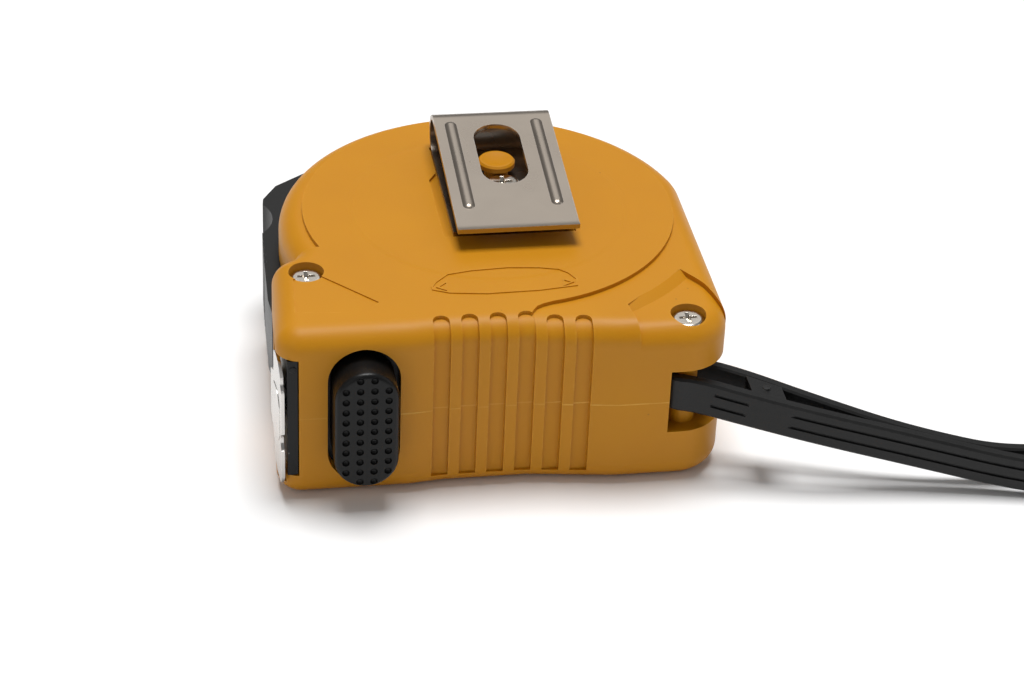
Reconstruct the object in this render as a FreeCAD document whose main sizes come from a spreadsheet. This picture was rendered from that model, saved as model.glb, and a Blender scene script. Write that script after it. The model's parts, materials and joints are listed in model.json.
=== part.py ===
import FreeCAD, Part
import math
import os
import Sketcher
from FreeCAD import Vector

# A 5 m pocket tape measure lying on its plain side, belt clip up.
# Frame: the origin is the reel axis on the plain side's flat face. +Z runs along the reel axis
# towards the belt clip, -X towards the mouth where the blade comes out, and -Y towards the base
# that rests on the work while measuring. Millimetres.

doc = FreeCAD.newDocument("TapeMeasure")
sheet = doc.addObject("Spreadsheet::Sheet", "Sizes")

SIZES = [
    # the case
    ("case_thickness", 28.0, "between the plain side and the raised disc on the clip side"),
    ("dome_radius", 31.75, "round back of the case, about the reel axis"),
    ("rear_reach", 31.0, "reel axis to the flat rear face"),
    ("front_step", 3.45, "front face ahead of the dome"),
    ("front_reach", "=dome_radius + front_step", "reel axis to the front face"),
    ("heel_drop", 34.9, "reel axis to the base under the rear of the case"),
    ("toe_drop", 33.9, "reel axis to the base under the mouth and the button"),
    ("grip_drop", 33.3, "reel axis to the base in the finger hollow"),
    ("base_wall", 2.4, "wall of the base"),
    ("side_wall", 2.0, "flat side walls"),
    ("edge_round", 3.4, "rounding of the outer edges"),
    ("land_step", 0.6, "height of the raised disc over the land round it"),
    ("corner_step", 0.8, "how far the rear corner lies below the land"),
    ("disc_radius", 28.2, "raised disc on the clip side"),
    ("notch_drop", 9.9, "reel axis to the notch between dome and front block"),
    # base face details
    ("groove_pitch", 4.1, "spacing of the finger grooves"),
    ("groove_first", 11.35, "reel axis to the first groove, towards the mouth"),
    ("groove_width", 2.45, "width of a finger groove"),
    ("groove_depth", 0.6, "depth of a finger groove"),
    # mouth, blade and hook
    ("blade_width", 19.0, "tape blade"),
    ("blade_thickness", 0.2, "tape blade with its paint"),
    ("blade_bow", 22.0, "radius of the blade's hollow cross-section"),
    ("blade_slope", 5.0, "degrees by which the blade falls towards the mouth"),
    ("coil_radius", 24.0, "wound blade, outside"),
    ("hub_radius", 18.5, "drum that the blade winds on"),
    ("mouth_play", 0.4, "side play of the blade in the mouth, each side"),
    ("hook_width", 20.2, "end hook across the blade"),
    ("hook_thickness", 0.9, "end hook's sheet, also its true-zero play"),
    ("hook_below", 7.2, "end hook below the blade"),
    ("hook_above", 1.8, "end hook above the blade"),
    ("hook_reach", "=front_reach - hook_thickness", "reel axis to the inner face of the hook, along X"),
    ("rivet_radius", 0.9, "rivet shank in the hook's tang"),
    # brake button
    ("button_place", 22.55, "reel axis to the middle of the button, towards the mouth"),
    ("button_width", 9.3, "button across"),
    ("button_length", 19.4, "button along the case's thickness"),
    ("button_gap", 0.6, "gap round the button in its opening"),
    ("button_rise", 4.1, "how far the button stands out of the base"),
    ("button_travel", 2.0, "button stroke"),
    # thumb lock
    ("lock_width", 12.0, "thumb lock along the case's thickness"),
    ("lock_travel", 5.0, "thumb lock stroke"),
    ("lock_gap", 0.3, "side gap of the thumb lock in its channel"),
    # reel, spring and spindle
    ("flange_radius", 26.0, "reel flanges"),
    ("flange_thickness", 1.1, "reel flanges"),
    ("reel_clearance", 3.0, "reel flanges to the wall round them"),
    ("dome_wall", "=dome_radius - flange_radius - reel_clearance", "wall round the reel"),
    ("hub_wall", 1.0, "wall of the drum"),
    ("spindle_radius", 8.0, "fixed post in the middle of the reel"),
    ("running_gap", 0.06, "radial running gap of the reel on the spindle"),
    ("spring_thickness", 0.3, "power spring strip"),
    ("spring_pitch", 0.9, "spacing of the power spring's turns at rest"),
    # belt clip
    ("clip_width", 18.3, "belt clip across"),
    ("clip_sheet", 0.8, "belt clip's spring sheet"),
    ("clip_middle", 2.8, "reel axis to the middle of the clip, towards the rear"),
    ("clip_fold", 20.4, "reel axis to the outside of the fold"),
    ("clip_tip", 12.0, "reel axis to the tip, towards the base"),
    ("clip_rise", 6.6, "fold's height over the raised disc"),
    ("clip_slope", 6.6, "degrees by which the outer leaf falls towards its tip"),
    ("clip_hole_width", 7.2, "oblong hole in the outer leaf"),
    ("clip_hole_length", 15.5, "oblong hole in the outer leaf"),
    ("clip_rib_radius", 1.0, "ribs pressed up in the outer leaf"),
    ("clip_rib_rise", 0.45, "ribs over the outer leaf"),
    ("clip_rib_place", 6.7, "middle of the clip to each rib"),
    ("clip_seat", 0.5, "depth of the clip's seat in the raised disc"),
    ("peg_radius", 2.85, "locating peg for the clip"),
    ("peg_rise", 3.0, "peg's height over the raised disc"),
    # screws
    ("screw_radius", 1.1, "case screw shank"),
    ("screw_head_radius", 2.45, "case screw head"),
    ("screw_head_height", 1.4, "case screw head"),
    ("screw_gap", 0.15, "gap round a screw head in its recess"),
    ("screw_well_radius", "=screw_head_radius + screw_gap", "recess that holds a screw head"),
    ("screw_well_depth", 0.8, "from the surface to the top of a screw head"),
    ("post_radius", 2.0, "post that the wrist strap loops round"),
    # wrist strap
    ("strap_width", 5.5, "moulded strap, across the band"),
    ("strap_thickness", 1.8, "moulded strap, through the band"),
    ("strap_slot", 10.5, "height of the strap slot in the rear corner"),
]
for row, (name, value, note) in enumerate(SIZES, start=1):
    sheet.set(f"A{row}", name)
    sheet.set(f"B{row}", str(value))
    sheet.set(f"C{row}", note)
    sheet.setAlias(f"B{row}", name)
doc.recompute()

NAMES = sorted((name for name, _, _ in SIZES), key=len, reverse=True)
GROOVE_COUNT = 6
GROOVES_IN_RAISED = 4


def bound(text):
    """The formula with every size name pointed at the spreadsheet."""
    out = ""
    word = ""
    for char in str(text) + " ":
        if char.isalnum() or char == "_":
            word += char
            continue
        out += ("Sizes." + word if word in NAMES else word) + char
        word = ""
    return out.strip()


def value(text):
    """The formula's present value."""
    result = sheet.evalExpression(bound(text))
    return float(getattr(result, "Value", result))


# Heights that several pieces share.
MIDDLE = "case_thickness / 2"
LAND = "case_thickness - land_step"
CORNER = "case_thickness - land_step - corner_step"
INNER_TOP = "case_thickness - side_wall - land_step"
DRUM_BORE = "dome_radius - dome_wall"


# ---------------------------------------------------------------- helpers
def place(obj, x="0", y="0", z="0", turn=None, axis=(0, 0, 1)):
    """Bind an object's Placement: where it stands, and its turn about an axis."""
    obj.Placement = FreeCAD.Placement(Vector(), FreeCAD.Rotation(Vector(*axis), 1.0 if turn else 0.0))
    for key, text in (("x", x), ("y", y), ("z", z)):
        obj.setExpression(f"Placement.Base.{key}", bound(text))
    if turn:
        obj.setExpression("Placement.Rotation.Angle", bound(turn))
    return obj


def turned(origin, turn, a, b):
    """Two formulas: the point a, b of a frame that stands at origin and is turned by turn degrees."""
    first = f"({origin[0]}) + ({a}) * cos({turn} * 1deg) - ({b}) * sin({turn} * 1deg)"
    second = f"({origin[1]}) + ({a}) * sin({turn} * 1deg) + ({b}) * cos({turn} * 1deg)"
    return first, second


def box(name, low, high, turn=None, origin=("0", "0"), about="Z"):
    """A box between two corners; a turned one is given in a frame turned about Z or X at origin."""
    obj = doc.addObject("Part::Box", name)
    for side, a, b in zip(("Length", "Width", "Height"), low, high):
        obj.setExpression(side, bound(f"({b}) - ({a})"))
    if turn is None:
        return place(obj, *low)
    if about == "Z":
        return place(obj, *turned(origin, turn, low[0], low[1]), low[2], turn)
    return place(obj, low[0], *turned(origin, turn, low[1], low[2]), turn, (1, 0, 0))


def cylinder(name, radius, height, x="0", y="0", z="0", along="Z"):
    """A cylinder along +Z, or along +Y or +X from the same foot."""
    obj = doc.addObject("Part::Cylinder", name)
    obj.setExpression("Radius", bound(radius))
    obj.setExpression("Height", bound(height))
    if along == "Z":
        return place(obj, x, y, z)
    axis, turn = ((-1, 0, 0), "90") if along == "Y" else ((0, 1, 0), "90")
    return place(obj, x, y, z, turn, axis)


def fuse(name, shapes):
    obj = doc.addObject("Part::MultiFuse", name)
    obj.Shapes = shapes
    obj.Refine = True
    return obj


def cut(name, base, tool):
    obj = doc.addObject("Part::Cut", name)
    obj.Base = base
    obj.Tool = tool
    return obj


def common(name, base, tool):
    obj = doc.addObject("Part::Common", name)
    obj.Base = base
    obj.Tool = tool
    return obj


def origin_plane(body, role):
    return next(f for f in body.Origin.OriginFeatures if f.Role == role)


def sketch_on(body, name, role="XY_Plane", offset="0"):
    """A sketch on one of the body's own origin planes, moved along its normal."""
    sketch = body.newObject("Sketcher::SketchObject", name)
    sketch.AttachmentSupport = (origin_plane(body, role), [""])
    sketch.MapMode = "FlatFace"
    sketch.setExpression("AttachmentOffset.Base.z", bound(offset))
    return sketch


def pin_point(sketch, geo, pos, x, y):
    """Tie a point of the sketch to its place, measured from the sketch's origin."""
    for kind, text in (("DistanceX", x), ("DistanceY", y)):
        number = value(text)
        index = sketch.addConstraint(Sketcher.Constraint(kind, -1, 1, geo, pos, number))
        sketch.setExpression(f"Constraints[{index}]", bound(text))


def polygon(sketch, corners):
    """A closed outline of straight sides, every corner tied to the sizes."""
    points = [Vector(value(x), value(y), 0) for x, y in corners]
    first = sketch.GeometryCount
    count = len(points)
    for i in range(count):
        sketch.addGeometry(Part.LineSegment(points[i], points[(i + 1) % count]), False)
    for i in range(count):
        sketch.addConstraint(
            Sketcher.Constraint("Coincident", first + i, 2, first + (i + 1) % count, 1)
        )
        pin_point(sketch, first + i, 1, *corners[i])


def pad(body, sketch, length, backwards=False):
    feature = body.newObject("PartDesign::Pad", sketch.Name + "_pad")
    feature.Profile = sketch
    feature.setExpression("Length", bound(length))
    feature.Reversed = backwards
    sketch.Visibility = False
    return feature


def round_edges(body, name, radius, chosen):
    """A fillet on every edge of the body's tip that chosen(edge) picks."""
    doc.recompute()
    base = body.Tip
    names = [f"Edge{i}" for i, edge in enumerate(base.Shape.Edges, start=1) if chosen(edge)]
    if not names:
        raise ValueError(f"{name}: no edge to round")
    feature = body.newObject("PartDesign::Fillet", name)
    feature.Base = (base, names)
    feature.setExpression("Radius", bound(radius))
    doc.recompute()
    return feature


def upright_at(x, y):
    """Picks the upright edge that stands at x, y."""
    px, py = value(x), value(y)

    def test(edge):
        a, b = edge.Vertexes[0].Point, edge.Vertexes[-1].Point
        flat = abs(a.x - b.x) < 1e-4 and abs(a.y - b.y) < 1e-4
        return flat and abs(a.x - px) < 1e-2 and abs(a.y - py) < 1e-2

    return test


def level_at(z):
    """Picks the edges that lie flat at height z."""
    height = value(z)
    return lambda edge: all(abs(v.Point.z - height) < 1e-4 for v in edge.Vertexes) and abs(
        edge.CenterOfMass.z - height
    ) < 1e-4


def prism(name, corners, z, height, role="XY_Plane", backwards=False):
    """A body padded from one polygon."""
    body = doc.addObject("PartDesign::Body", name)
    sketch = sketch_on(body, name + "_outline", role, z)
    polygon(sketch, corners)
    pad(body, sketch, height, backwards)
    return body


def coded(name, shape):
    """A piece whose shape no sketch or primitive gives: spirals, thin bowed sheet, swept strap."""
    obj = doc.addObject("Part::Feature", name)
    obj.Shape = shape
    return obj


# ---------------------------------------------------------------- case blanks
DOME_REAR_Y = "sqrt(dome_radius * dome_radius - rear_reach * rear_reach)"
NOTCH_X = "-sqrt(dome_radius * dome_radius - notch_drop * notch_drop)"
BLOCK_SHOULDER = ("-front_reach + 1.2", "-notch_drop - 2.6")
TOE = ("-front_reach", "-toe_drop")
TOE_END = ("-15.5", "-toe_drop")
GRIP_START = ("-groove_first + 0.85", "-grip_drop")
GRIP_END = ("-groove_first + 13.35", "-grip_drop")
HEEL_START = ("14.5", "-heel_drop")
HEEL = ("rear_reach", "-heel_drop")
REAR_TOP = ("rear_reach", DOME_REAR_Y)
NOTCH = (NOTCH_X, "-notch_drop")


def case_blank(name, top):
    """The case's outer form as one solid up to a given height, edges rounded."""
    body = doc.addObject("PartDesign::Body", name)
    sketch = sketch_on(body, name + "_outline")
    straight = [NOTCH, BLOCK_SHOULDER, TOE, TOE_END, GRIP_START, GRIP_END, HEEL_START, HEEL, REAR_TOP]
    points = [Vector(value(x), value(y), 0) for x, y in straight]
    for a, b in zip(points, points[1:]):
        sketch.addGeometry(Part.LineSegment(a, b), False)
    radius = value("dome_radius")
    start = math.atan2(points[-1].y, points[-1].x)
    end = math.atan2(points[0].y, points[0].x) + 2 * math.pi
    dome_circle = Part.Circle(Vector(), Vector(0, 0, 1), radius)
    dome = sketch.addGeometry(Part.ArcOfCircle(dome_circle, start, end), False)
    last = len(straight) - 2
    for i in range(last):
        sketch.addConstraint(Sketcher.Constraint("Coincident", i, 2, i + 1, 1))
    sketch.addConstraint(Sketcher.Constraint("Coincident", last, 2, dome, 1))
    sketch.addConstraint(Sketcher.Constraint("Coincident", dome, 2, 0, 1))
    sketch.addConstraint(Sketcher.Constraint("Coincident", dome, 3, -1, 1))
    for i in range(last + 1):
        if i:
            pin_point(sketch, i, 1, *straight[i])
    index = sketch.addConstraint(Sketcher.Constraint("DistanceX", -1, 1, last, 2, value("rear_reach")))
    sketch.setExpression(f"Constraints[{index}]", bound("rear_reach"))
    index = sketch.addConstraint(Sketcher.Constraint("DistanceY", -1, 1, 0, 1, -value("notch_drop")))
    sketch.setExpression(f"Constraints[{index}]", bound("-notch_drop"))
    index = sketch.addConstraint(Sketcher.Constraint("Radius", dome, radius))
    sketch.setExpression(f"Constraints[{index}]", bound("dome_radius"))
    pad(body, sketch, top)
    round_edges(body, name + "_heel_round", "edge_round + 3.6", upright_at(*HEEL))
    round_edges(body, name + "_toe_round", "edge_round + 0.3", upright_at(*TOE))
    round_edges(body, name + "_shoulder_round", "edge_round + 0.2", upright_at(*BLOCK_SHOULDER))
    round_edges(body, name + "_notch_round", "1.2", upright_at(*NOTCH))
    round_edges(body, name + "_rear_round", "12", upright_at(*REAR_TOP))
    for label, corner in (("a", TOE_END), ("b", GRIP_START), ("c", GRIP_END), ("d", HEEL_START)):
        round_edges(body, f"{name}_base_round_{label}", "14", upright_at(*corner))
    round_edges(body, name + "_top_round", "edge_round", level_at(top))
    round_edges(body, name + "_bottom_round", "edge_round", level_at("0"))
    return body


blank_high = case_blank("blank_high", "case_thickness")
blank_land = case_blank("blank_land", LAND)
blank_corner = case_blank("blank_corner", CORNER)


# ---------------------------------------------------------------- places that pieces share
BLADE_TANGENT = ("coil_radius * sin(blade_slope * 1deg)", "-coil_radius * cos(blade_slope * 1deg)")
MOUTH_X = "-hook_reach"
MOUTH_Y = f"({BLADE_TANGENT[1]}) - (hook_reach + ({BLADE_TANGENT[0]})) * tan(blade_slope * 1deg)"
MOUTH = (MOUTH_X, MOUTH_Y)
HOOK_MIDDLE = f"{MIDDLE} - 1"
BLADE_LOW = f"{MIDDLE} - blade_width / 2"
BLADE_HIGH = f"{MIDDLE} + blade_width / 2"
BASE_INNER = "-toe_drop + base_wall"
CEILING = "-toe_drop + 10.7"
FRONT_SCREW = ("-front_reach + 6", "-notch_drop - 6.3")
REAR_SCREW = ("rear_reach - 6.2", "-heel_drop + 4.2")
CROWN_SCREW = ("0.5", "dome_radius - 2.9")
CLIP_SCREW = ("clip_middle + 0.1", "4.4")
PEG = ("clip_middle - 0.2", "9.3")
SCREWS = [
    ("front", FRONT_SCREW, "case_thickness"),
    ("rear", REAR_SCREW, CORNER),
    ("crown", CROWN_SCREW, LAND),
]
CHANNEL_LOW = f"{MIDDLE} - lock_width / 2 - lock_gap"
CHANNEL_HIGH = f"{MIDDLE} + lock_width / 2 + lock_gap"
SLOT_LOW = f"{MIDDLE} - strap_slot / 2"
SLOT_HIGH = f"{MIDDLE} + strap_slot / 2"
LOOP_REACH = "post_radius + 0.1 + strap_thickness"


# ---------------------------------------------------------------- openings cut in both shells
def stadium(name, x, half_width, y_low, y_high, z_low, z_high):
    """A round-ended prism along Y, long in Z."""
    depth = f"({y_high}) - ({y_low})"
    ends = [
        cylinder(f"{name}_end_{k}", half_width, depth, x, y_low, z, "Y")
        for k, z in enumerate((f"({z_low}) + ({half_width})", f"({z_high}) - ({half_width})"))
    ]
    core = box(
        f"{name}_core",
        (f"({x}) - ({half_width})", y_low, f"({z_low}) + ({half_width})"),
        (f"({x}) + ({half_width})", y_high, f"({z_high}) - ({half_width})"),
    )
    return fuse(name, ends + [core])


def base_line(x):
    """The base's Y at a place along the case, as a formula: flat hollow, then the slope to the heel."""
    if value(x) <= value(GRIP_START[0]):
        a, b = TOE_END, GRIP_START
    elif value(x) <= value(GRIP_END[0]):
        a, b = GRIP_START, GRIP_END
    else:
        a, b = GRIP_END, HEEL_START
    return f"({a[1]}) + (({b[1]}) - ({a[1]})) * (({x}) - ({a[0]})) / (({b[0]}) - ({a[0]}))"


def groove_tool(number):
    """The cutter for one finger groove: it follows the base and turns over the top edge."""
    name = f"groove_{number}"
    surface = "case_thickness" if number < GROOVES_IN_RAISED else LAND
    middle = f"-groove_first + {number} * groove_pitch"
    floor = f"{base_line(middle)} + groove_depth"
    body = prism(
        name + "_bar",
        [
            (f"{floor} - 8", "2.3"),
            (floor, "2.3"),
            (floor, "case_thickness + 2"),
            (f"{floor} - 8", "case_thickness + 2"),
        ],
        f"{middle} - groove_width / 2",
        "groove_width",
        "YZ_Plane",
    )
    over = box(
        name + "_over",
        (f"{middle} - groove_width / 2", f"{floor} - 2", "case_thickness - edge_round - 1"),
        (f"{middle} + groove_width / 2", f"{floor} + edge_round - 1.9", "case_thickness + 2"),
    )
    over_end = cylinder(
        name + "_end", "groove_width / 2", "edge_round + 3", middle, f"{floor} + edge_round - 1.9",
        "case_thickness - edge_round - 1",
    )
    below_round = cylinder(
        name + "_turn",
        "edge_round - groove_depth",
        "groove_width + 1",
        f"{middle} - groove_width / 2 - 0.5",
        f"{floor} + edge_round - groove_depth",
        f"{surface} - edge_round",
        "X",
    )
    below = box(
        name + "_core",
        (f"{middle} - groove_width", floor, "case_thickness - edge_round - 3"),
        (f"{middle} + groove_width", f"{floor} + 9", f"{surface} - edge_round"),
    )
    inside = f"{floor} + edge_round - groove_depth"
    behind = box(
        name + "_behind",
        (f"{middle} - groove_width", inside, "case_thickness - edge_round - 3"),
        (f"{middle} + groove_width", f"{floor} + 9", f"{surface} - groove_depth"),
    )
    keep = fuse(name + "_keep", [below_round, below, behind])
    return cut(name, fuse(name + "_sweep", [body, over, over_end]), keep)


drum_cavity = cylinder("drum_cavity", DRUM_BORE, f"{INNER_TOP} - side_wall", "0", "0", "side_wall")
front_chamber = box(
    "front_chamber", ("-front_reach + 3.6", BASE_INNER, "side_wall"), ("-6", CEILING, INNER_TOP)
)
mouth_throat = box(
    "mouth_throat",
    ("-front_reach + 2", BASE_INNER, f"{BLADE_LOW} - mouth_play"),
    ("-front_reach + 6", f"{MOUTH_Y} + 3.3", f"{BLADE_HIGH} + mouth_play"),
)
guard_notch = box(
    "guard_notch",
    ("-front_reach", "-toe_drop - 2", f"{BLADE_LOW} - mouth_play"),
    ("-front_reach + 3.3", BASE_INNER, f"{BLADE_HIGH} + mouth_play"),
)
hook_recess = box(
    "hook_recess",
    ("-6", "-hook_below - 3", f"{HOOK_MIDDLE} - hook_width / 2 - 0.3"),
    ("0.12", "hook_above + 0.7", f"{HOOK_MIDDLE} + hook_width / 2 + 0.3"),
    "blade_slope",
    MOUTH,
)
front_mouth = box(
    "front_mouth",
    ("-front_reach - 3", BASE_INNER, f"{BLADE_LOW} - mouth_play"),
    ("-front_reach + 3", f"{MOUTH_Y} + 3.3", f"{BLADE_HIGH} + mouth_play"),
)
button_opening = stadium(
    "button_opening",
    "-button_place",
    "button_width / 2 + button_gap",
    "-toe_drop - 4",
    "-toe_drop + base_wall + 1",
    f"{MIDDLE} - button_length / 2 - button_gap - 1",
    f"{MIDDLE} + button_length / 2 + button_gap + 1",
)
lock_channel = box(
    "lock_channel", ("-front_reach - 4", "-notch_drop - 10.4", CHANNEL_LOW), ("-dome_radius - 0.3", "-6", CHANNEL_HIGH)
)
lock_window = box(
    "lock_window", ("-front_reach - 6", "-10.6", CHANNEL_LOW), ("-15", "dome_radius", CHANNEL_HIGH)
)
prong_way = box(
    "prong_way",
    ("-front_reach + 1.2", f"{MOUTH_Y} + 2", CHANNEL_LOW),
    ("-front_reach + 3.1", "-notch_drop - 9", CHANNEL_HIGH),
)
strap_corner = box(
    "strap_corner", ("rear_reach - 9", "-heel_drop - 3", SLOT_LOW), ("rear_reach + 3", "-24.6", SLOT_HIGH)
)
strap_turn = cylinder(
    "strap_turn", f"{LOOP_REACH} + 0.5", "strap_slot", REAR_SCREW[0], REAR_SCREW[1], SLOT_LOW
)
strap_post = cylinder("strap_post", "post_radius", "strap_slot", REAR_SCREW[0], REAR_SCREW[1], SLOT_LOW)
strap_space = cut("strap_space", fuse("strap_space_open", [strap_corner, strap_turn]), strap_post)


def screw_hole(label, spot, top):
    """The recess for the head and the hole for the shank, down into the plain-side shell."""
    well = cylinder(
        f"{label}_well", "screw_well_radius", "screw_well_depth + screw_head_height + 3",
        spot[0], spot[1], f"{top} - screw_well_depth - screw_head_height",
    )
    bore = cylinder(f"{label}_bore", "screw_radius", "case_thickness - 7", spot[0], spot[1], "5.5")
    return [well, bore]


screw_tools = [piece for label, spot, top in SCREWS for piece in screw_hole(label, spot, top)]
crown_boss = cylinder(
    "crown_boss", "4", f"{LAND} - 5", CROWN_SCREW[0], CROWN_SCREW[1], "2.5"
)
crown_core = cylinder("crown_core", "2.4", "case_thickness", CROWN_SCREW[0], CROWN_SCREW[1], "0")
drum_space = cut("drum_space", drum_cavity, crown_core)
shared_cuts = [
    drum_space, front_chamber, guard_notch, mouth_throat, front_mouth, hook_recess, button_opening,
    lock_channel, lock_window, prong_way, strap_space,
]

# ---------------------------------------------------------------- case_lower and case_upper
# The raised area takes in the disc and the whole front; its edge leaves the disc near the base in
# a soft S and runs over the base's rounded edge between two finger grooves.
RAISED = [
    (NOTCH_X + " - 6", "-notch_drop + 0.5"),
    (NOTCH_X + " + 4.2", "-notch_drop + 0.5"),
    ("0", "0"),
    ("disc_radius * 0.2", "-disc_radius + 0.6"),
    ("3.9", "-heel_drop + 6.7"),
    ("2.9", "-heel_drop + 6.1"),
    ("2.2", "-heel_drop + 5.1"),
    ("1.6", "-heel_drop + 3.9"),
    ("0.9", "-heel_drop + 1.9"),
    ("0.5", "-heel_drop - 9"),
    ("-front_reach - 9", "-heel_drop - 9"),
]
raised_block = prism("raised_block", RAISED, "case_thickness - 10", "14")
raised_disc = cylinder("raised_disc", "disc_radius", "14", "0", "0", "case_thickness - 10")
raised = common("raised", blank_high, fuse("raised_area", [raised_block, raised_disc]))

# The rear corner lies lower still, behind a curved slope centred on the reel axis.
CORNER_ARC = "dome_radius + 1.4"
CORNER_SECTOR = [
    ("rear_reach - 14.8", "-heel_drop + 6.2"),
    ("rear_reach - 5.2", "-heel_drop + 15.1"),
    ("rear_reach - 2.4", "-heel_drop + 10.9"),
    ("rear_reach - 0.5", "-heel_drop + 6.9"),
    ("rear_reach + 2", "-heel_drop + 1"),
    ("rear_reach + 2", "-heel_drop - 5"),
    ("rear_reach - 13", "-heel_drop - 5"),
]
corner_sector = prism("corner_sector", CORNER_SECTOR, f"{CORNER} - edge_round", "edge_round + 4")
corner_slope = doc.addObject("Part::Cone", "corner_slope")
corner_slope.setExpression("Radius1", bound(f"{CORNER_ARC} + corner_step"))
corner_slope.setExpression("Radius2", bound(f"{CORNER_ARC} - corner_step"))
corner_slope.setExpression("Height", bound("corner_step"))
place(corner_slope, "0", "0", CORNER)
corner_cut = cut("corner_cut", corner_sector, fuse("corner_keep", [blank_corner, corner_slope]))

# A shallow panel sunk in the front block, beside the front screw.
PANEL = [
    ("-front_reach + 3.9", "-toe_drop + 15.7"),
    ("-front_reach + 3.4", "-toe_drop + 6.7"),
    ("-front_reach + 13.3", "-toe_drop + 5.8"),
    ("-front_reach + 15.6", "-toe_drop + 8.3"),
    ("-front_reach + 7.8", "-toe_drop + 16.5"),
]
PANEL_DEPTH = "0.2"
panel_cut = prism("panel_cut", PANEL, f"case_thickness - {PANEL_DEPTH}", "3")
SEAT_GAP = "0.2"
SEAT_START = "-8.4"
SEAT_FLOOR = "case_thickness - clip_seat"
clip_seat = box(
    "clip_seat_cut",
    (f"clip_middle - clip_width / 2 - {SEAT_GAP}", SEAT_START, SEAT_FLOOR),
    (f"clip_middle + clip_width / 2 + {SEAT_GAP}", "clip_fold - 1.2", "case_thickness + 2"),
)
# The seat is wider along the front edge of the clip and runs out towards the fold.
SEAT_SIDE = [
    ("clip_middle", SEAT_START),
    ("clip_middle", "clip_fold - 9"),
    ("clip_middle - clip_width / 2", "clip_fold - 9"),
    ("clip_middle - clip_width / 2 - 1.5", "clip_fold - 11.5"),
    ("clip_middle - clip_width / 2 - 1.5", SEAT_START),
]
clip_seat_side = prism("clip_seat_side", SEAT_SIDE, SEAT_FLOOR, "3")
clip_screw_hole = cylinder(
    "clip_screw_hole", "screw_radius + 0.2", "6", CLIP_SCREW[0], CLIP_SCREW[1], "case_thickness - 5"
)
grooves = [groove_tool(number) for number in range(GROOVE_COUNT)]
seat_key = box("seat_key", ("-3.05", "-3.05", "side_wall - 1.05"), ("3.05", "3.05", "side_wall + 1"))

case_form = fuse("case_form", [blank_land, raised, crown_boss])
case_whole = cut(
    "case_whole",
    case_form,
    fuse(
        "case_cuts",
        shared_cuts
        + screw_tools
        + grooves
        + [corner_cut, panel_cut, clip_seat, clip_seat_side, clip_screw_hole, seat_key],
    ),
)
half_low = box("half_low", ("-60", "-60", "-1"), ("60", "60", MIDDLE))
half_high = box("half_high", ("-60", "-60", MIDDLE), ("60", "60", "case_thickness + 5"))
case_lower = common("case_lower", case_whole, half_low)

# The peg is a thin stem with a disc on it, its rim bevelled and its top dished.
PEG_RIM = "0.3"
PEG_TOP = "case_thickness + peg_rise"
peg_rim = doc.addObject("Part::Cone", "peg_rim")
peg_rim.setExpression("Radius1", bound("peg_radius"))
peg_rim.setExpression("Radius2", bound(f"peg_radius - {PEG_RIM}"))
peg_rim.setExpression("Height", bound(PEG_RIM))
place(peg_rim, *PEG, f"{PEG_TOP} - {PEG_RIM}")
peg_dish = doc.addObject("Part::Sphere", "peg_dish")
peg_dish.setExpression("Radius", bound("peg_radius * 3"))
place(peg_dish, *PEG, f"{PEG_TOP} + peg_radius * 3 - {PEG_RIM}")
peg = cut(
    "peg",
    fuse(
        "peg_blank",
        [
            cylinder("peg_stem", "peg_radius - 1", "peg_rise + 1", *PEG, "case_thickness - clip_seat - 0.5"),
            cylinder("peg_disc", "peg_radius", f"1 - {PEG_RIM}", *PEG, f"{PEG_TOP} - 1"),
            peg_rim,
        ],
    ),
    peg_dish,
)

# A plate outlined by a thin raised line, an arrow at each end of it.
PLATE_OUTER = [
    ("-11.65", "-22.4"),
    ("-11.1", "-21.3"),
    ("-9.0", "-19.0"),
    ("-5.4", "-18.2"),
    ("0.2", "-17.8"),
    ("5.0", "-18.3"),
    ("7.9", "-19.1"),
    ("9.1", "-20.3"),
    ("10.0", "-22.2"),
    ("9.7", "-24.0"),
    ("3.9", "-24.8"),
    ("-3.9", "-25.0"),
    ("-9.2", "-24.3"),
    ("-11.6", "-23.2"),
]
ARROWS = [
    [("-10.95", "-22.6"), ("-9.1", "-20.9"), ("-9.5", "-23.6")],
    [("9.3", "-23.0"), ("7.8", "-21.9"), ("7.5", "-24.0")],
]
LINE_RISE = "0.16"


def inset(corners, centre, shares):
    """The same outline drawn in towards a centre, by one share along X and one along Y."""
    drawn = []
    for corner in corners:
        x, y = (f"({c}) + (({p}) - ({c})) * {share}" for p, c, share in zip(corner, centre, shares))
        drawn.append((x, y))
    return drawn


def raised_line(name, corners, centre, shares):
    """A thin raised line along a closed outline on the raised disc."""
    outer = prism(f"{name}_outer", corners, "case_thickness - 0.3", f"0.3 + {LINE_RISE}")
    inner = prism(f"{name}_inner", inset(corners, centre, shares), "case_thickness - 0.5", "1")
    return cut(name, outer, inner)


plate_rim = raised_line("plate_rim", PLATE_OUTER, ("-0.9", "-21.7"), (0.972, 0.92))
arrows = [
    raised_line("arrow_front", ARROWS[0], ("-9.7", "-22.4"), (0.6, 0.6)),
    raised_line("arrow_rear", ARROWS[1], ("8.1", "-23.0"), (0.6, 0.6)),
]
case_upper = fuse("case_upper", [common("upper_half", case_whole, half_high), peg, plate_rim] + arrows)


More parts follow.
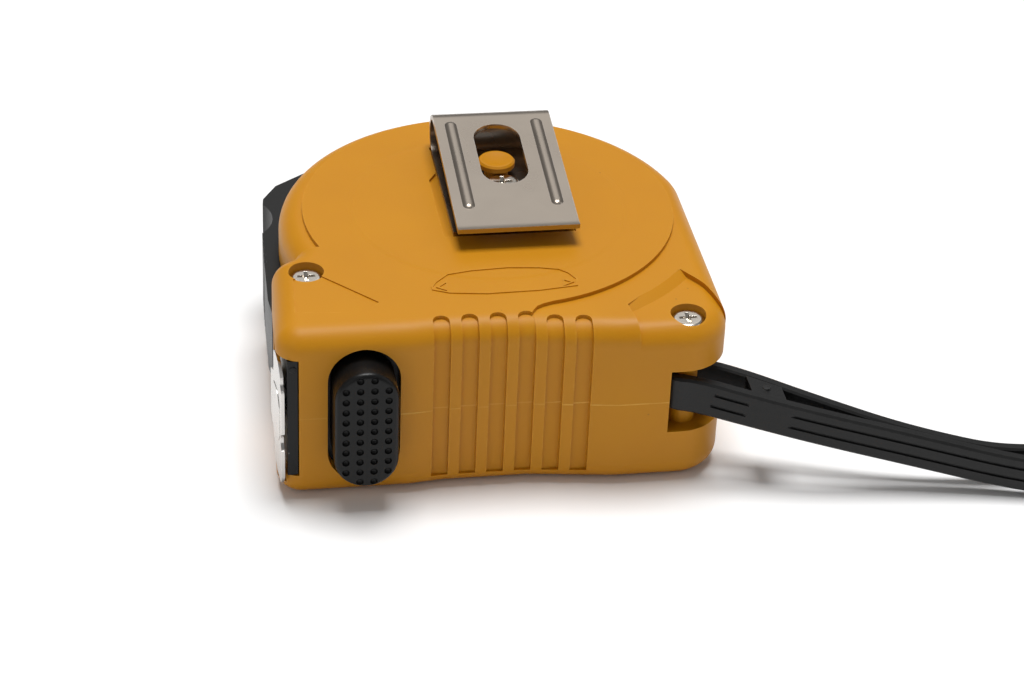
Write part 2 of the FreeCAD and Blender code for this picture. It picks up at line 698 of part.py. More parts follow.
# ---------------------------------------------------------------- screws
def pan_screw(name, spot, top, head_radius, head_height, shank_radius, shank_length):
    """A pan-head screw, driven down from the clip side, with a crossed recess."""
    x, y = spot
    head = cylinder(f"{name}_head", head_radius, head_height, x, y, f"{top} - {head_height}")
    foot = f"{top} - {head_height} - {shank_length}"
    shank = cylinder(f"{name}_shank", shank_radius, f"{shank_length} + 0.2", x, y, foot)
    reach = f"{head_radius} * 0.62"
    arms = [
        box(
            f"{name}_arm_{k}",
            (f"({x}) - {a}", f"({y}) - {b}", f"{top} - {head_height} * 0.6"),
            (f"({x}) + {a}", f"({y}) + {b}", f"{top} + 1"),
        )
        for k, (a, b) in enumerate(((reach, "0.3"), ("0.3", reach)))
    ]
    return cut(name, fuse(f"{name}_blank", [head, shank]), fuse(f"{name}_cross", arms))


case_screws = doc.addObject("Part::Compound", "case_screws")
case_screws.Links = [
    pan_screw(
        f"{label}_screw", spot, f"{top} - screw_well_depth", "screw_head_radius", "screw_head_height",
        "(screw_radius - 0.05)", f"({top} - screw_well_depth - screw_head_height - 6)",
    )
    for label, spot, top in SCREWS
]
CLIP_SCREW_TOP = "case_thickness - clip_seat + clip_sheet + 1.5"
clip_screw = pan_screw(
    "clip_screw", CLIP_SCREW, CLIP_SCREW_TOP, "2.8", "1.45", "(screw_radius + 0.1)", "9"
)

# ---------------------------------------------------------------- spindle, reel and power spring
spindle_post = cylinder(
    "spindle_post", "spindle_radius", f"{INNER_TOP} - side_wall", "0", "0", "side_wall"
)
spindle_key = box("spindle_key", ("-3", "-3", "side_wall - 1"), ("3", "3", "side_wall + 0.5"))
spring_slot = box(
    "spring_slot", ("3.5", "-0.4", f"{BLADE_LOW} - 0.2"), ("spindle_radius + 1", "0.4", INNER_TOP)
)
spindle_bore = cylinder("spindle_bore", "screw_radius + 0.1", "9", *CLIP_SCREW, f"{INNER_TOP} - 8")
spindle_blank = fuse("spindle_blank", [spindle_post, spindle_key])
spindle = cut("spindle", spindle_blank, fuse("spindle_cuts", [spring_slot, spindle_bore]))

FLANGE_GAP = "0.3"
LOW_FLANGE = f"({BLADE_LOW} - {FLANGE_GAP})"
HIGH_FLANGE = f"({BLADE_HIGH} + {FLANGE_GAP})"
REEL_FOOT = f"{LOW_FLANGE} - flange_thickness"
REEL_SPAN = f"{HIGH_FLANGE} - {LOW_FLANGE}"
SPINDLE_FIT = "spindle_radius + running_gap"
reel_drum = cut(
    "reel_drum",
    fuse(
        "reel_drum_blank",
        [
            cylinder("reel_flange", "flange_radius", "flange_thickness", "0", "0", REEL_FOOT),
            cylinder("reel_wall", "hub_radius", REEL_SPAN, "0", "0", LOW_FLANGE),
        ],
    ),
    fuse(
        "reel_drum_cuts",
        [
            cylinder("reel_hollow", "hub_radius - hub_wall", f"{REEL_SPAN} + 1", "0", "0", LOW_FLANGE),
            cylinder("reel_bore", SPINDLE_FIT, "case_thickness", "0", "0", "0"),
        ],
    ),
)
reel_cover = cut(
    "reel_cover",
    cylinder("reel_cover_disc", "flange_radius", "flange_thickness", "0", "0", HIGH_FLANGE),
    cylinder("reel_cover_bore", SPINDLE_FIT, "case_thickness", "0", "0", "0"),
)
COIL_OUTER = "coil_radius - 0.8"
blade_coil = cut(
    "blade_coil",
    cylinder("coil_outside", COIL_OUTER, "blade_width", "0", "0", BLADE_LOW),
    cylinder("coil_inside", "hub_radius", "blade_width + 2", "0", "0", f"{BLADE_LOW} - 1"),
)


def spiral_strip(start, pitch, thickness, end, tail):
    """The flat outline of a strip wound outwards in half turns, its inner end turned in."""
    inner, outer = [], []
    radius, side, centre = start, 1, 0.0
    while radius + thickness < end:
        for rim, grown in ((inner, radius), (outer, radius + thickness)):
            begin = Vector(centre + side * grown, 0, 0)
            middle = Vector(centre, side * grown, 0)
            rim.append(Part.Arc(begin, middle, Vector(centre - side * grown, 0, 0)).toShape())
        centre += side * pitch / 2
        radius += pitch / 2
        side = -side
    foot = [
        Vector(start + thickness, 0, 0),
        Vector(start + thickness, -thickness, 0),
        Vector(start - tail, -thickness, 0),
        Vector(start - tail, 0, 0),
        Vector(start, 0, 0),
    ]
    edges = inner + outer + [Part.makeLine(a, b) for a, b in zip(foot, foot[1:])]
    edges.append(Part.makeLine(inner[-1].Vertexes[-1].Point, outer[-1].Vertexes[-1].Point))
    return Part.Face(Part.Wire(Part.__sortEdges__(edges)))


spring_face = spiral_strip(
    value("spindle_radius") + 0.5,
    value("spring_pitch"),
    value("spring_thickness"),
    value("hub_radius - hub_wall") - 0.3,
    2.5,
)
power_spring = coded("power_spring", spring_face.extrude(Vector(0, 0, value("blade_width - 0.6"))))
place(power_spring, "0", "0", f"{BLADE_LOW} + 0.3")

# ---------------------------------------------------------------- blade, hook and rivets
FLAT_BOW = 500.0
RUN_LENGTH = value(f"(hook_reach + ({BLADE_TANGENT[0]})) / cos(blade_slope * 1deg)")
FLATTENING = 14.0


def bowed_section(x, bow):
    """The blade's cross-section: a thin strip bowed downwards in the middle."""
    half = value("blade_width") / 2
    rims = []
    for radius in (bow + value("blade_thickness") / 2, bow - value("blade_thickness") / 2):
        reach = half * radius / bow
        rise = radius - math.sqrt(radius * radius - reach * reach) + bow - radius
        ends = [Vector(x, rise, -reach), Vector(x, rise, reach)]
        rims.append(Part.Arc(ends[0], Vector(x, bow - radius, 0), ends[1]).toShape())
    low, high = rims
    sides = [
        Part.makeLine(low.Vertexes[1].Point, high.Vertexes[1].Point),
        Part.makeLine(high.Vertexes[0].Point, low.Vertexes[0].Point),
    ]
    return Part.Wire([low, sides[0], high, sides[1]])


bow = value("blade_bow")
bowed = Part.Face(bowed_section(0, bow)).extrude(Vector(RUN_LENGTH - FLATTENING, 0, 0))
flattened = Part.makeLoft(
    [bowed_section(RUN_LENGTH - FLATTENING, bow), bowed_section(RUN_LENGTH, FLAT_BOW)], True, True
)
run_shape = bowed.fuse(flattened)
RIVETS = [("3", "-2.2"), ("3", "2.2"), ("7", "0")]
for along, across in RIVETS:
    foot = Vector(value(along), -2, value(across))
    run_shape = run_shape.cut(Part.makeCylinder(value("rivet_radius"), 4, foot, Vector(0, 1, 0)))
blade_run = coded("blade_run", run_shape)
place(blade_run, *MOUTH, MIDDLE, "blade_slope")

TANG_LOW, TANG_HIGH = "0.6", "1.15"
hook_plate = box(
    "hook_plate",
    ("-hook_thickness", "-hook_below", f"{HOOK_MIDDLE} - hook_width / 2"),
    ("0", "hook_above", f"{HOOK_MIDDLE} + hook_width / 2"),
    "blade_slope",
    MOUTH,
)
hook_tang = box(
    "hook_tang",
    ("-0.3", TANG_LOW, f"{MIDDLE} - 4"),
    ("9.5", TANG_HIGH, f"{MIDDLE} + 4"),
    "blade_slope",
    MOUTH,
)


def across_blade(name, radius, low, high, along, across):
    """A cylinder square to the blade, from one height over it to another."""
    foot = turned(MOUTH, "blade_slope", along, low)
    obj = doc.addObject("Part::Cylinder", name)
    obj.setExpression("Radius", bound(radius))
    obj.setExpression("Height", bound(f"({high}) - ({low})"))
    slope = FreeCAD.Rotation(Vector(0, 0, 1), value("blade_slope"))
    obj.Placement = FreeCAD.Placement(Vector(), slope * FreeCAD.Rotation(Vector(1, 0, 0), -90))
    for key, text in zip("xyz", (foot[0], foot[1], f"{MIDDLE} + ({across})")):
        obj.setExpression(f"Placement.Base.{key}", bound(text))
    return obj


RIVET_HEAD = "rivet_radius + 0.5"
slots = []
rivets = []
for k, (along, across) in enumerate(RIVETS):
    far = f"{along} + hook_thickness + 0.1"
    for end, at in (("near", along), ("far", far)):
        slots.append(across_blade(f"slot_{k}_{end}", "rivet_radius + 0.1", "0", "3", at, across))
    low = (along, "0", f"{MIDDLE} + ({across}) - rivet_radius - 0.1")
    high = (far, "3", f"{MIDDLE} + ({across}) + rivet_radius + 0.1")
    slots.append(box(f"slot_{k}_middle", low, high, "blade_slope", MOUTH))
    shank = across_blade(f"rivet_{k}_shank", "rivet_radius", "-0.2", f"{TANG_HIGH} + 0.2", along, across)
    foot = across_blade(f"rivet_{k}_foot", RIVET_HEAD, "-0.5", "-0.12", along, across)
    head = across_blade(
        f"rivet_{k}_head", RIVET_HEAD, f"{TANG_HIGH} + 0.05", f"{TANG_HIGH} + 0.45", along, across
    )
    rivets.append(fuse(f"rivet_{k}", [shank, foot, head]))
end_hook = cut("end_hook", fuse("end_hook_blank", [hook_plate, hook_tang]), fuse("hook_slots", slots))
hook_rivets = doc.addObject("Part::Compound", "hook_rivets")
hook_rivets.Links = rivets

mouth_guard = box(
    "mouth_guard",
    ("0.14", "-hook_below + 0.45", f"{BLADE_LOW} - mouth_play + 0.1"),
    ("1.72", "-0.95", f"{BLADE_HIGH} + mouth_play - 0.1"),
    "blade_slope",
    MOUTH,
)

# ---------------------------------------------------------------- brake button, pad and springs
FLANGE_TOP = f"({BASE_INNER} + 1.3)"
BUTTON_X = "-button_place"
button_body = doc.addObject("PartDesign::Body", "button_body")
button_sketch = sketch_on(button_body, "button_outline", "XZ_Plane", f"-({FLANGE_TOP})")
BUTTON_CORNERS = [
    (f"{BUTTON_X} - button_width / 2", f"{MIDDLE} - button_length / 2"),
    (f"{BUTTON_X} + button_width / 2", f"{MIDDLE} - button_length / 2"),
    (f"{BUTTON_X} + button_width / 2", f"{MIDDLE} + button_length / 2"),
    (f"{BUTTON_X} - button_width / 2", f"{MIDDLE} + button_length / 2"),
]
polygon(button_sketch, BUTTON_CORNERS)
pad(button_body, button_sketch, f"toe_drop + button_rise + {FLANGE_TOP}")


def runs_along_y(edge):
    ends = [v.Point for v in edge.Vertexes]
    return len(ends) == 2 and abs(ends[0].x - ends[1].x) < 1e-4 and abs(ends[0].z - ends[1].z) < 1e-4


def on_button_face(edge):
    return all(abs(v.Point.y + value("toe_drop + button_rise")) < 1e-3 for v in edge.Vertexes)


round_edges(button_body, "button_ends", "button_width / 2 - 0.02", runs_along_y)
round_edges(button_body, "button_face_round", "0.8", on_button_face)
button_flange = box(
    "button_flange",
    (f"{BUTTON_X} - button_width / 2 - 1.6", f"{BASE_INNER} + 0.1", "side_wall + 0.3"),
    (f"{BUTTON_X} + button_width / 2 + 1.6", FLANGE_TOP, "case_thickness - side_wall - land_step - 0.3"),
)
brake_button = fuse("brake_button", [button_body, button_flange])
brake_pad = box(
    "brake_pad",
    (f"{BUTTON_X} - 3", FLANGE_TOP, f"{MIDDLE} - 6"),
    (f"{BUTTON_X} + 3", f"{FLANGE_TOP} + 1.7", f"{MIDDLE} + 6"),
)

COIL_WIRE = 0.15
COIL_MEAN = 0.62
SPRING_REACH = value("blade_width") / 2 + 1.0


def coil_spring(length, turns):
    """A small compression spring standing along +Y from the origin."""
    helix = Part.makeHelix((length - 2 * COIL_WIRE) / turns, length - 2 * COIL_WIRE, COIL_MEAN)
    section = Part.Wire(Part.makeCircle(COIL_WIRE, Vector(COIL_MEAN, 0, 0), Vector(0, 1, 0)))
    spring = Part.Wire(helix.Edges).makePipeShell([section], True, True)
    spring.translate(Vector(0, 0, COIL_WIRE))
    spring.rotate(Vector(), Vector(1, 0, 0), -90)
    return spring


spring_length = value(f"{CEILING} - {FLANGE_TOP}")
springs = []
for side in (-1, 1):
    one = coil_spring(spring_length, 6)
    one.translate(Vector(0, 0, side * SPRING_REACH))
    springs.append(one)
brake_springs = coded("brake_springs", Part.makeCompound(springs))
place(brake_springs, BUTTON_X, FLANGE_TOP, MIDDLE)

# ---------------------------------------------------------------- thumb lock
LOCK_LOW = f"{MIDDLE} - lock_width / 2"
LOCK_OUTLINE = [
    ("-front_reach + 1.1", "-notch_drop - 4.7"),
    ("-front_reach + 2.85", "-notch_drop - 4.7"),
    ("-front_reach + 2.85", "-notch_drop + 4.6"),
    ("-front_reach + 5.6", "-3"),
    ("-front_reach + 5.6", "5"),
    ("-dome_radius + 4.15", "12"),
    ("-dome_radius + 7.15", "17.5"),
    ("-dome_radius + 11.15", "22"),
    ("-dome_radius + 15.15", "25.4"),
    ("-dome_radius + 13.15", "27"),
    ("-dome_radius + 6.35", "27"),
    ("-dome_radius + 1.35", "23.2"),
    ("-front_reach + 2.5", "19.2"),
    ("-front_reach + 1.7", "12.2"),
    ("-front_reach + 1.2", "1.6"),
    ("-front_reach + 0.8", "-notch_drop - 0.8"),
]
lock_form = prism("lock_form", LOCK_OUTLINE, LOCK_LOW, "lock_width")
LOCK_INNER = f"-({DRUM_BORE}) + 2.6"
lock_web = box(
    "lock_web", ("-front_reach + 5.2", "-2", LOCK_LOW), (LOCK_INNER, "7.4", f"{LOCK_LOW} + lock_width")
)
lock_lips = box(
    "lock_lips",
    (f"{LOCK_INNER} - 1.2", "-2", f"{LOCK_LOW} - 1.2"),
    (LOCK_INNER, "7.4", f"{LOCK_LOW} + lock_width + 1.2"),
)
prongs = [
    box(
        f"lock_prong_{k}",
        ("-front_reach + 1.6", f"{MOUTH_Y} + 1.25 + lock_travel", low),
        ("-front_reach + 2.75", "-notch_drop - 4.5", f"{low} + 1.4"),
    )
    for k, low in enumerate((f"{LOCK_LOW} + 0.1", f"{LOCK_LOW} + lock_width - 1.5"))
]
thumb_lock = fuse("thumb_lock", [lock_form, lock_web, lock_lips] + prongs)

# ---------------------------------------------------------------- belt clip
FOLD_OUTER = "((clip_rise + clip_seat) / 2)"
FOLD_Y = f"clip_fold - {FOLD_OUTER}"
FOLD_Z = f"case_thickness - clip_seat + {FOLD_OUTER}"
CLIP_X = "clip_middle - clip_width / 2"
CLIP_X_END = "clip_middle + clip_width / 2"
LEAF_LENGTH = f"({FOLD_Y} + clip_tip) / cos(clip_slope * 1deg)"
FOLD_INNER = f"{FOLD_OUTER} - clip_sheet"
LEAF_TOP = "case_thickness - clip_seat + clip_sheet"
fold_ring = cut(
    "fold_ring",
    cylinder("fold_outside", FOLD_OUTER, "clip_width", CLIP_X, FOLD_Y, FOLD_Z, "X"),
    cylinder("fold_inside", FOLD_INNER, "clip_width + 2", f"{CLIP_X} - 1", FOLD_Y, FOLD_Z, "X"),
)
fold_behind = box(
    "fold_behind",
    (f"{CLIP_X} - 1", FOLD_Y, f"{FOLD_Z} - 9"),
    (f"{CLIP_X_END} + 1", f"{FOLD_Y} + 9", f"{FOLD_Z} + 9"),
)
fold_over = box(
    "fold_over",
    (f"{CLIP_X} - 1", "0", "0"),
    (f"{CLIP_X_END} + 1", "9", "9"),
    "clip_slope",
    (FOLD_Y, FOLD_Z),
    "X",
)
outer_leaf = box(
    "outer_leaf",
    (CLIP_X, f"-({LEAF_LENGTH})", FOLD_INNER),
    (CLIP_X_END, "0", FOLD_OUTER),
    "clip_slope",
    (FOLD_Y, FOLD_Z),
    "X",
)
base_leaf = box(
    "base_leaf", (CLIP_X, "-7.6", "case_thickness - clip_seat"), (CLIP_X_END, FOLD_Y, LEAF_TOP)
)
HOLE_FLOOR = "case_thickness + 1.5"
HOLE_HALF = "clip_hole_width / 2"
HOLE_Y = "6.6"
HOLE_LOW = f"{HOLE_Y} - clip_hole_length / 2 + clip_hole_width / 2"
HOLE_HIGH = f"{HOLE_Y} + clip_hole_length / 2 - clip_hole_width / 2"
clip_holes = [
    cylinder("clip_hole_low", HOLE_HALF, "9", "clip_middle", HOLE_LOW, HOLE_FLOOR),
    cylinder("clip_hole_high", HOLE_HALF, "9", "clip_middle", HOLE_HIGH, HOLE_FLOOR),
    box(
        "clip_hole_middle",
        (f"clip_middle - {HOLE_HALF}", HOLE_LOW, HOLE_FLOOR),
        (f"clip_middle + {HOLE_HALF}", HOLE_HIGH, f"{HOLE_FLOOR} + 9"),
    ),
    cylinder("peg_hole", "peg_radius + 0.15", "3", *PEG, "case_thickness - 1.5"),
    cylinder("clip_screw_way", "screw_radius + 0.2", "3", *CLIP_SCREW, "case_thickness - 1.5"),
]
fold_side = fuse("fold_side", [fold_behind, fold_over])

# Two round-ended ribs stand half out of the outer leaf, one on each side of the hole.
RIB_START = f"(-6 - ({FOLD_Y})) / cos(clip_slope * 1deg)"
RIB_END = f"(clip_fold - 5.8 - ({FOLD_Y})) / cos(clip_slope * 1deg)"
RIB_HEIGHT = f"{FOLD_OUTER} + clip_rib_rise - clip_rib_radius"
rib_pieces = []
for label, side in (("front", "-"), ("rear", "+")):
    rib_x = f"clip_middle {side} clip_rib_place"
    rib = doc.addObject("Part::Cylinder", f"rib_{label}")
    rib.setExpression("Radius", bound("clip_rib_radius"))
    rib.setExpression("Height", bound(f"({RIB_END}) - ({RIB_START})"))
    rib_foot = turned((FOLD_Y, FOLD_Z), "clip_slope", RIB_START, RIB_HEIGHT)
    rib_pieces.append(place(rib, rib_x, *rib_foot, "90 - clip_slope", (-1, 0, 0)))
    for end, along in (("low", RIB_START), ("high", RIB_END)):
        ball = doc.addObject("Part::Sphere", f"rib_{label}_{end}")
        ball.setExpression("Radius", bound("clip_rib_radius"))
        rib_pieces.append(place(ball, rib_x, *turned((FOLD_Y, FOLD_Z), "clip_slope", along, RIB_HEIGHT)))
rib_room = box(
    "rib_room",
    (CLIP_X, f"-({LEAF_LENGTH})", f"{FOLD_OUTER} - clip_sheet / 2"),
    (CLIP_X_END, "0", f"{FOLD_OUTER} + 2"),
    "clip_slope",
    (FOLD_Y, FOLD_Z),
    "X",
)
clip_ribs = common("clip_ribs", fuse("clip_rib_blank", rib_pieces), rib_room)
fold_bend = common("fold_bend", fold_ring, fold_side)
clip_blank = fuse("clip_blank", [fold_bend, outer_leaf, base_leaf, clip_ribs])
belt_clip = cut("belt_clip", clip_blank, fuse("belt_clip_holes", clip_holes))

# ---------------------------------------------------------------- wrist strap
# The band stands on edge: round the post, out of the slot, sagging to the surface that the case
# lies on, and round in a long narrow loop. Each point of its middle line is chosen by hand and
# given as: out from the post, across, and its share of the climb from that surface to mid-case.
STRAP_ROUTE = [
    (-3.0, -0.01, 1.06),
    (-3.0, -3.05, 1.12),
    (1.7, -3.05, 1.03),
    (8.2, -4.6, 0.885),
    (19.2, -7.5, 0.68),
    (33.2, -9.7, 0.385),
    (49.8, -12.9, 0.055),
    (67.2, -17.8, 0.0),
    (83.2, -23.8, 0.0),
    (98.2, -25.8, 0.0),
    (109.2, -20.3, 0.0),
    (111.2, -10.3, 0.0),
    (103.7, -2.8, 0.0),
    (90.2, -2.3, 0.0),
    (73.2, -6.1, 0.0),
    (50.3, -10.3, 0.005),
    (33.2, -7.4, 0.32),
    (19.2, -2.9, 0.645),
    (9.2, 1.3, 0.86),
    (2.7, 3.05, 0.98),
    (-3.0, 3.05, 1.0),
    (-3.0, 0.01, 1.06),
]
POST_TURNS = (1, len(STRAP_ROUTE) - 2)
SHARE_AT_POST = 0.98
SHARE_OF_RUN = 0.45


def strap_point(out, across, lift):
    """A route point in the object's frame."""
    rest = value("strap_width / 2 + 0.05")
    return Vector(
        value(REAR_SCREW[0]) + out, value(REAR_SCREW[1]) + across, rest + lift * (value(MIDDLE) - rest)
    )


def arc_route(corners, post_turns):
    """Straight runs joined by tangent arcs, each as large as its two runs allow."""
    edges, radii, at = [], [], corners[0]
    for i in range(1, len(corners) - 1):
        back = corners[i - 1] - corners[i]
        ahead = corners[i + 1] - corners[i]
        turn = math.pi - back.getAngle(ahead)
        share = SHARE_AT_POST if i in post_turns else SHARE_OF_RUN
        trim = share * min(back.Length, ahead.Length)
        radius = trim / math.tan(turn / 2)
        start = corners[i] + back.normalize() * trim
        end = corners[i] + ahead.normalize() * trim
        bisector = (back + ahead).normalize()
        middle = corners[i] + bisector * (radius / math.cos(turn / 2) - radius)
        edges.append(Part.LineSegment(at, start).toShape())
        edges.append(Part.Arc(start, middle, end).toShape())
        radii.append(round(radius, 1))
        at = end
    edges.append(Part.LineSegment(at, corners[-1]).toShape())
    return Part.Wire(edges), radii


def upright_rectangle(low, high):
    """A closed rectangle between two corners that share one upright plane."""
    corners = [low, Vector(high.x, high.y, low.z), high, Vector(low.x, low.y, high.z), low]
    return Part.makePolygon(corners)


strap_path, strap_radii = arc_route([strap_point(*p) for p in STRAP_ROUTE], POST_TURNS)
half_band = value("strap_thickness / 2")
half_width = value("strap_width / 2")
entry = strap_point(*STRAP_ROUTE[0])
corner = Vector(half_band, 0, half_width)
sweep = Part.BRepOffsetAPI.MakePipeShell(strap_path)
sweep.setBiNormalMode(Vector(0, 0, 1))
sweep.add(upright_rectangle(entry - corner, entry + corner))
sweep.build()
sweep.makeSolid()
strap_loop = coded("strap_loop", sweep.shape())
strap_volume = strap_path.Length * value("strap_thickness * strap_width")
print("strap: middle line", round(strap_path.Length, 1), "mm, bend radii", strap_radii)
print("strap: volume over section times length", round(strap_loop.Shape.Volume / strap_volume, 3))

# The little block between the two strands, and the stud on it.
BRIDGE_OUT = (9.4, 14.6)
BRIDGE_HEIGHT = 5.3
NEAR_RUN, FAR_RUN = (3, 4), (18, 17)
SQUEEZE = 0.03


def on_run(run, out):
    """The point of a straight run of the strap at one distance out from the post."""
    start, end = strap_point(*STRAP_ROUTE[run[0]]), strap_point(*STRAP_ROUTE[run[1]])
    share = (value(REAR_SCREW[0]) + out - start.x) / (end.x - start.x)
    return start + (end - start) * share


rims = []
for out in BRIDGE_OUT:
    near, far = on_run(NEAR_RUN, out), on_run(FAR_RUN, out)
    inset_by = half_band * 1.06 - SQUEEZE
    low = Vector(near.x, near.y + inset_by, near.z - BRIDGE_HEIGHT / 2)
    high = Vector(far.x, far.y - inset_by, near.z + BRIDGE_HEIGHT / 2)
    rims.append(upright_rectangle(low, high))
bridge_block = Part.makeLoft(rims, True, True)
stud_foot = (on_run(NEAR_RUN, 12) + on_run(FAR_RUN, 12)) / 2
stud = Part.makeCylinder(0.6, BRIDGE_HEIGHT / 2 + 0.5, stud_foot)
strap_bridge = coded("strap_bridge", bridge_block.fuse(stud))

# ---------------------------------------------------------------- check and write
NODES = {
    "case_lower": case_lower,
    "case_upper": case_upper,
    "case_screws": case_screws,
    "clip_screw": clip_screw,
    "belt_clip": belt_clip,
    "mouth_guard": mouth_guard,
    "spindle": spindle,
    "power_spring": power_spring,
    "reel_drum": reel_drum,
    "reel_cover": reel_cover,
    "blade_coil": blade_coil,
    "blade_run": blade_run,
    "end_hook": end_hook,
    "hook_rivets": hook_rivets,
    "brake_button": brake_button,
    "brake_pad": brake_pad,
    "brake_springs": brake_springs,
    "thumb_lock": thumb_lock,
    "strap_loop": strap_loop,
    "strap_bridge": strap_bridge,
}
doc.recompute()
for obj in doc.Objects:
    if "Invalid" in obj.State or "Error" in obj.State:
        raise RuntimeError(f"{obj.Name} did not build: {obj.State}")
os.makedirs("parts", exist_ok=True)
for node, obj in NODES.items():
    shape = obj.Shape
    if shape.isNull() or not shape.isValid() or not shape.Solids:
        raise RuntimeError(f"{node} is not a valid solid")
    obj.Label = node
    shape.exportStep(f"parts/{node}.step")
    print(f"{node:14s} {len(shape.Solids)} solids, {shape.Volume:9.1f} mm3")
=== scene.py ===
# %% [markdown]
# # A pocket tape measure
# The object is a tape measure lying on its plain side, with the belt clip up and the wrist strap
# trailing behind it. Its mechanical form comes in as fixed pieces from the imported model. This
# lesson gives them their finishes, and models again, by hand, the pieces whose charm is in small
# details: strap, clip, hook, button, lock, screws and bumper.

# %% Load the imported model
import json
import math

import bmesh
import bpy
from mathutils import Matrix, Vector


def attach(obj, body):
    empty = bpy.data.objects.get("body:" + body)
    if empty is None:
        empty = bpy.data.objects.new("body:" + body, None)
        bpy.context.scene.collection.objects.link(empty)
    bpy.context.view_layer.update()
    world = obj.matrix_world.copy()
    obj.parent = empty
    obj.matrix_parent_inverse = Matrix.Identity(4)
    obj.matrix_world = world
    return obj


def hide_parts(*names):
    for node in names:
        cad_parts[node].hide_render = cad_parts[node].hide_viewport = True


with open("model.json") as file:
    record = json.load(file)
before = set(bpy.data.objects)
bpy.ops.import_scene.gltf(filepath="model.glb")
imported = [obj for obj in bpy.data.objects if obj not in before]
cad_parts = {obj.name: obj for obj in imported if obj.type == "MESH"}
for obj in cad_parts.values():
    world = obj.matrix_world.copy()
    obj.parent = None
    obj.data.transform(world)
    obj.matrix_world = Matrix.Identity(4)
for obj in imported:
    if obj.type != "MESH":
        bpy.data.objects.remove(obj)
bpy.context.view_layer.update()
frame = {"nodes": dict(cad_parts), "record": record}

nodes = frame["nodes"]
print("pieces in the packed model:", len(nodes))

# %% [markdown]
# ## The camera
# A camera is placed by three directions: where it looks, what is right and what is up. It stands
# in front of the base, to the left and well above it, and leans a little to one side. A long lens
# keeps the case's edges nearly parallel, as in a catalogue picture.

# %% The camera
CAMERA_AT = Vector((-0.061797, -0.369051, 0.244010))
LOOKS_ALONG = Vector((0.14904, 0.82825, -0.54018)).normalized()
LEAN = math.radians(2.464)

level_right = LOOKS_ALONG.cross(Vector((0, 0, 1))).normalized()
level_up = level_right.cross(LOOKS_ALONG)
right = level_right * math.cos(LEAN) + level_up * math.sin(LEAN)
up = level_up * math.cos(LEAN) - level_right * math.sin(LEAN)

camera_data = bpy.data.cameras.new("camera")
camera_data.lens = 99.85
camera_data.sensor_width = 36.0
camera_data.clip_start = 0.01
camera = bpy.data.objects.new("camera", camera_data)
bpy.context.scene.collection.objects.link(camera)
turn = Matrix((right, up, -LOOKS_ALONG)).transposed().to_4x4()
camera.matrix_world = Matrix.Translation(CAMERA_AT) @ turn
bpy.context.scene.camera = camera
print("camera is", round((CAMERA_AT - Vector((0, 0, 0.014))).length, 3), "m from the reel's axis")

# %% [markdown]
# ## A few helpers
# Modelling by hand is a rhythm: add a primitive, pick some of it, push it, finish it with a
# modifier. Each helper here is one beat of that rhythm. Sizes are thought of in millimetres, as on
# the real thing, and turned into metres at the last moment.

# %% Helpers for modelling
MM = 0.001


def mm(*sizes):
    return Vector(sizes) * MM


def deselect_all():
    if bpy.context.mode != "OBJECT":
        bpy.ops.object.mode_set(mode="OBJECT")
    bpy.ops.object.select_all(action="DESELECT")


def focus(piece):
    deselect_all()
    bpy.context.view_layer.objects.active = piece
    piece.select_set(True)


def add_block(name, low, high):
    """A cube stretched between two corners, given in millimetres."""
    deselect_all()
    low, high = mm(*low), mm(*high)
    bpy.ops.mesh.primitive_cube_add(size=1, location=(low + high) / 2)
    piece = bpy.context.object
    piece.name = piece.data.name = name
    piece.scale = high - low
    bpy.ops.object.transform_apply(location=True, rotation=True, scale=True)
    return piece


def add_rod(name, radius, start, end, sides=48):
    """A cylinder from one point to another, given in millimetres."""
    deselect_all()
    start, end = mm(*start), mm(*end)
    along = end - start
    bpy.ops.mesh.primitive_cylinder_add(
        vertices=sides, radius=radius * MM, depth=along.length, location=(start + end) / 2
    )
    piece = bpy.context.object
    piece.name = piece.data.name = name
    piece.rotation_euler = along.to_track_quat("Z", "Y").to_euler()
    bpy.ops.object.transform_apply(location=True, rotation=True, scale=True)
    return piece


def pick(piece, faces=None, edges=None, verts=None):
    """Opens the mesh for editing with only the parts selected that pass a test."""
    focus(piece)
    bpy.ops.object.mode_set(mode="EDIT")
    bpy.ops.mesh.select_all(action="DESELECT")
    kind = "FACE" if faces else "EDGE" if edges else "VERT"
    bpy.ops.mesh.select_mode(type=kind)
    mesh = bmesh.from_edit_mesh(piece.data)
    choices = {"FACE": (mesh.faces, faces), "EDGE": (mesh.edges, edges), "VERT": (mesh.verts, verts)}
    parts, test = choices[kind]
    for part in parts:
        part.select_set(bool(test(part)))
    bmesh.update_edit_mesh(piece.data)
    return mesh


def close_edit():
    bpy.ops.object.mode_set(mode="OBJECT")


def modify(piece, kind, **settings):
    """Adds a modifier, gives it its settings and applies it."""
    focus(piece)
    modifier = piece.modifiers.new(kind.lower(), kind)
    for key, setting in settings.items():
        setattr(modifier, key, setting)
    bpy.ops.object.modifier_apply(modifier=modifier.name)


def carve(piece, *tools, operation="DIFFERENCE"):
    """Cuts tools out of a piece, or adds them to it, and throws the tools away."""
    for tool in tools:
        modify(piece, "BOOLEAN", object=tool, operation=operation, solver="EXACT")
        bpy.data.objects.remove(tool)


def soften(piece, width, segments=3, angle=35):
    """Rounds the sharp edges a little; flat faces stay flat, the rest is shaded smooth."""
    modify(
        piece,
        "BEVEL",
        width=width * MM,
        segments=segments,
        limit_method="ANGLE",
        angle_limit=math.radians(angle),
    )
    even_shading(piece)


def even_shading(piece, angle=38):
    focus(piece)
    bpy.ops.object.shade_smooth_by_angle(angle=math.radians(angle))
    modify(piece, "WEIGHTED_NORMAL", keep_sharp=True, weight=100)


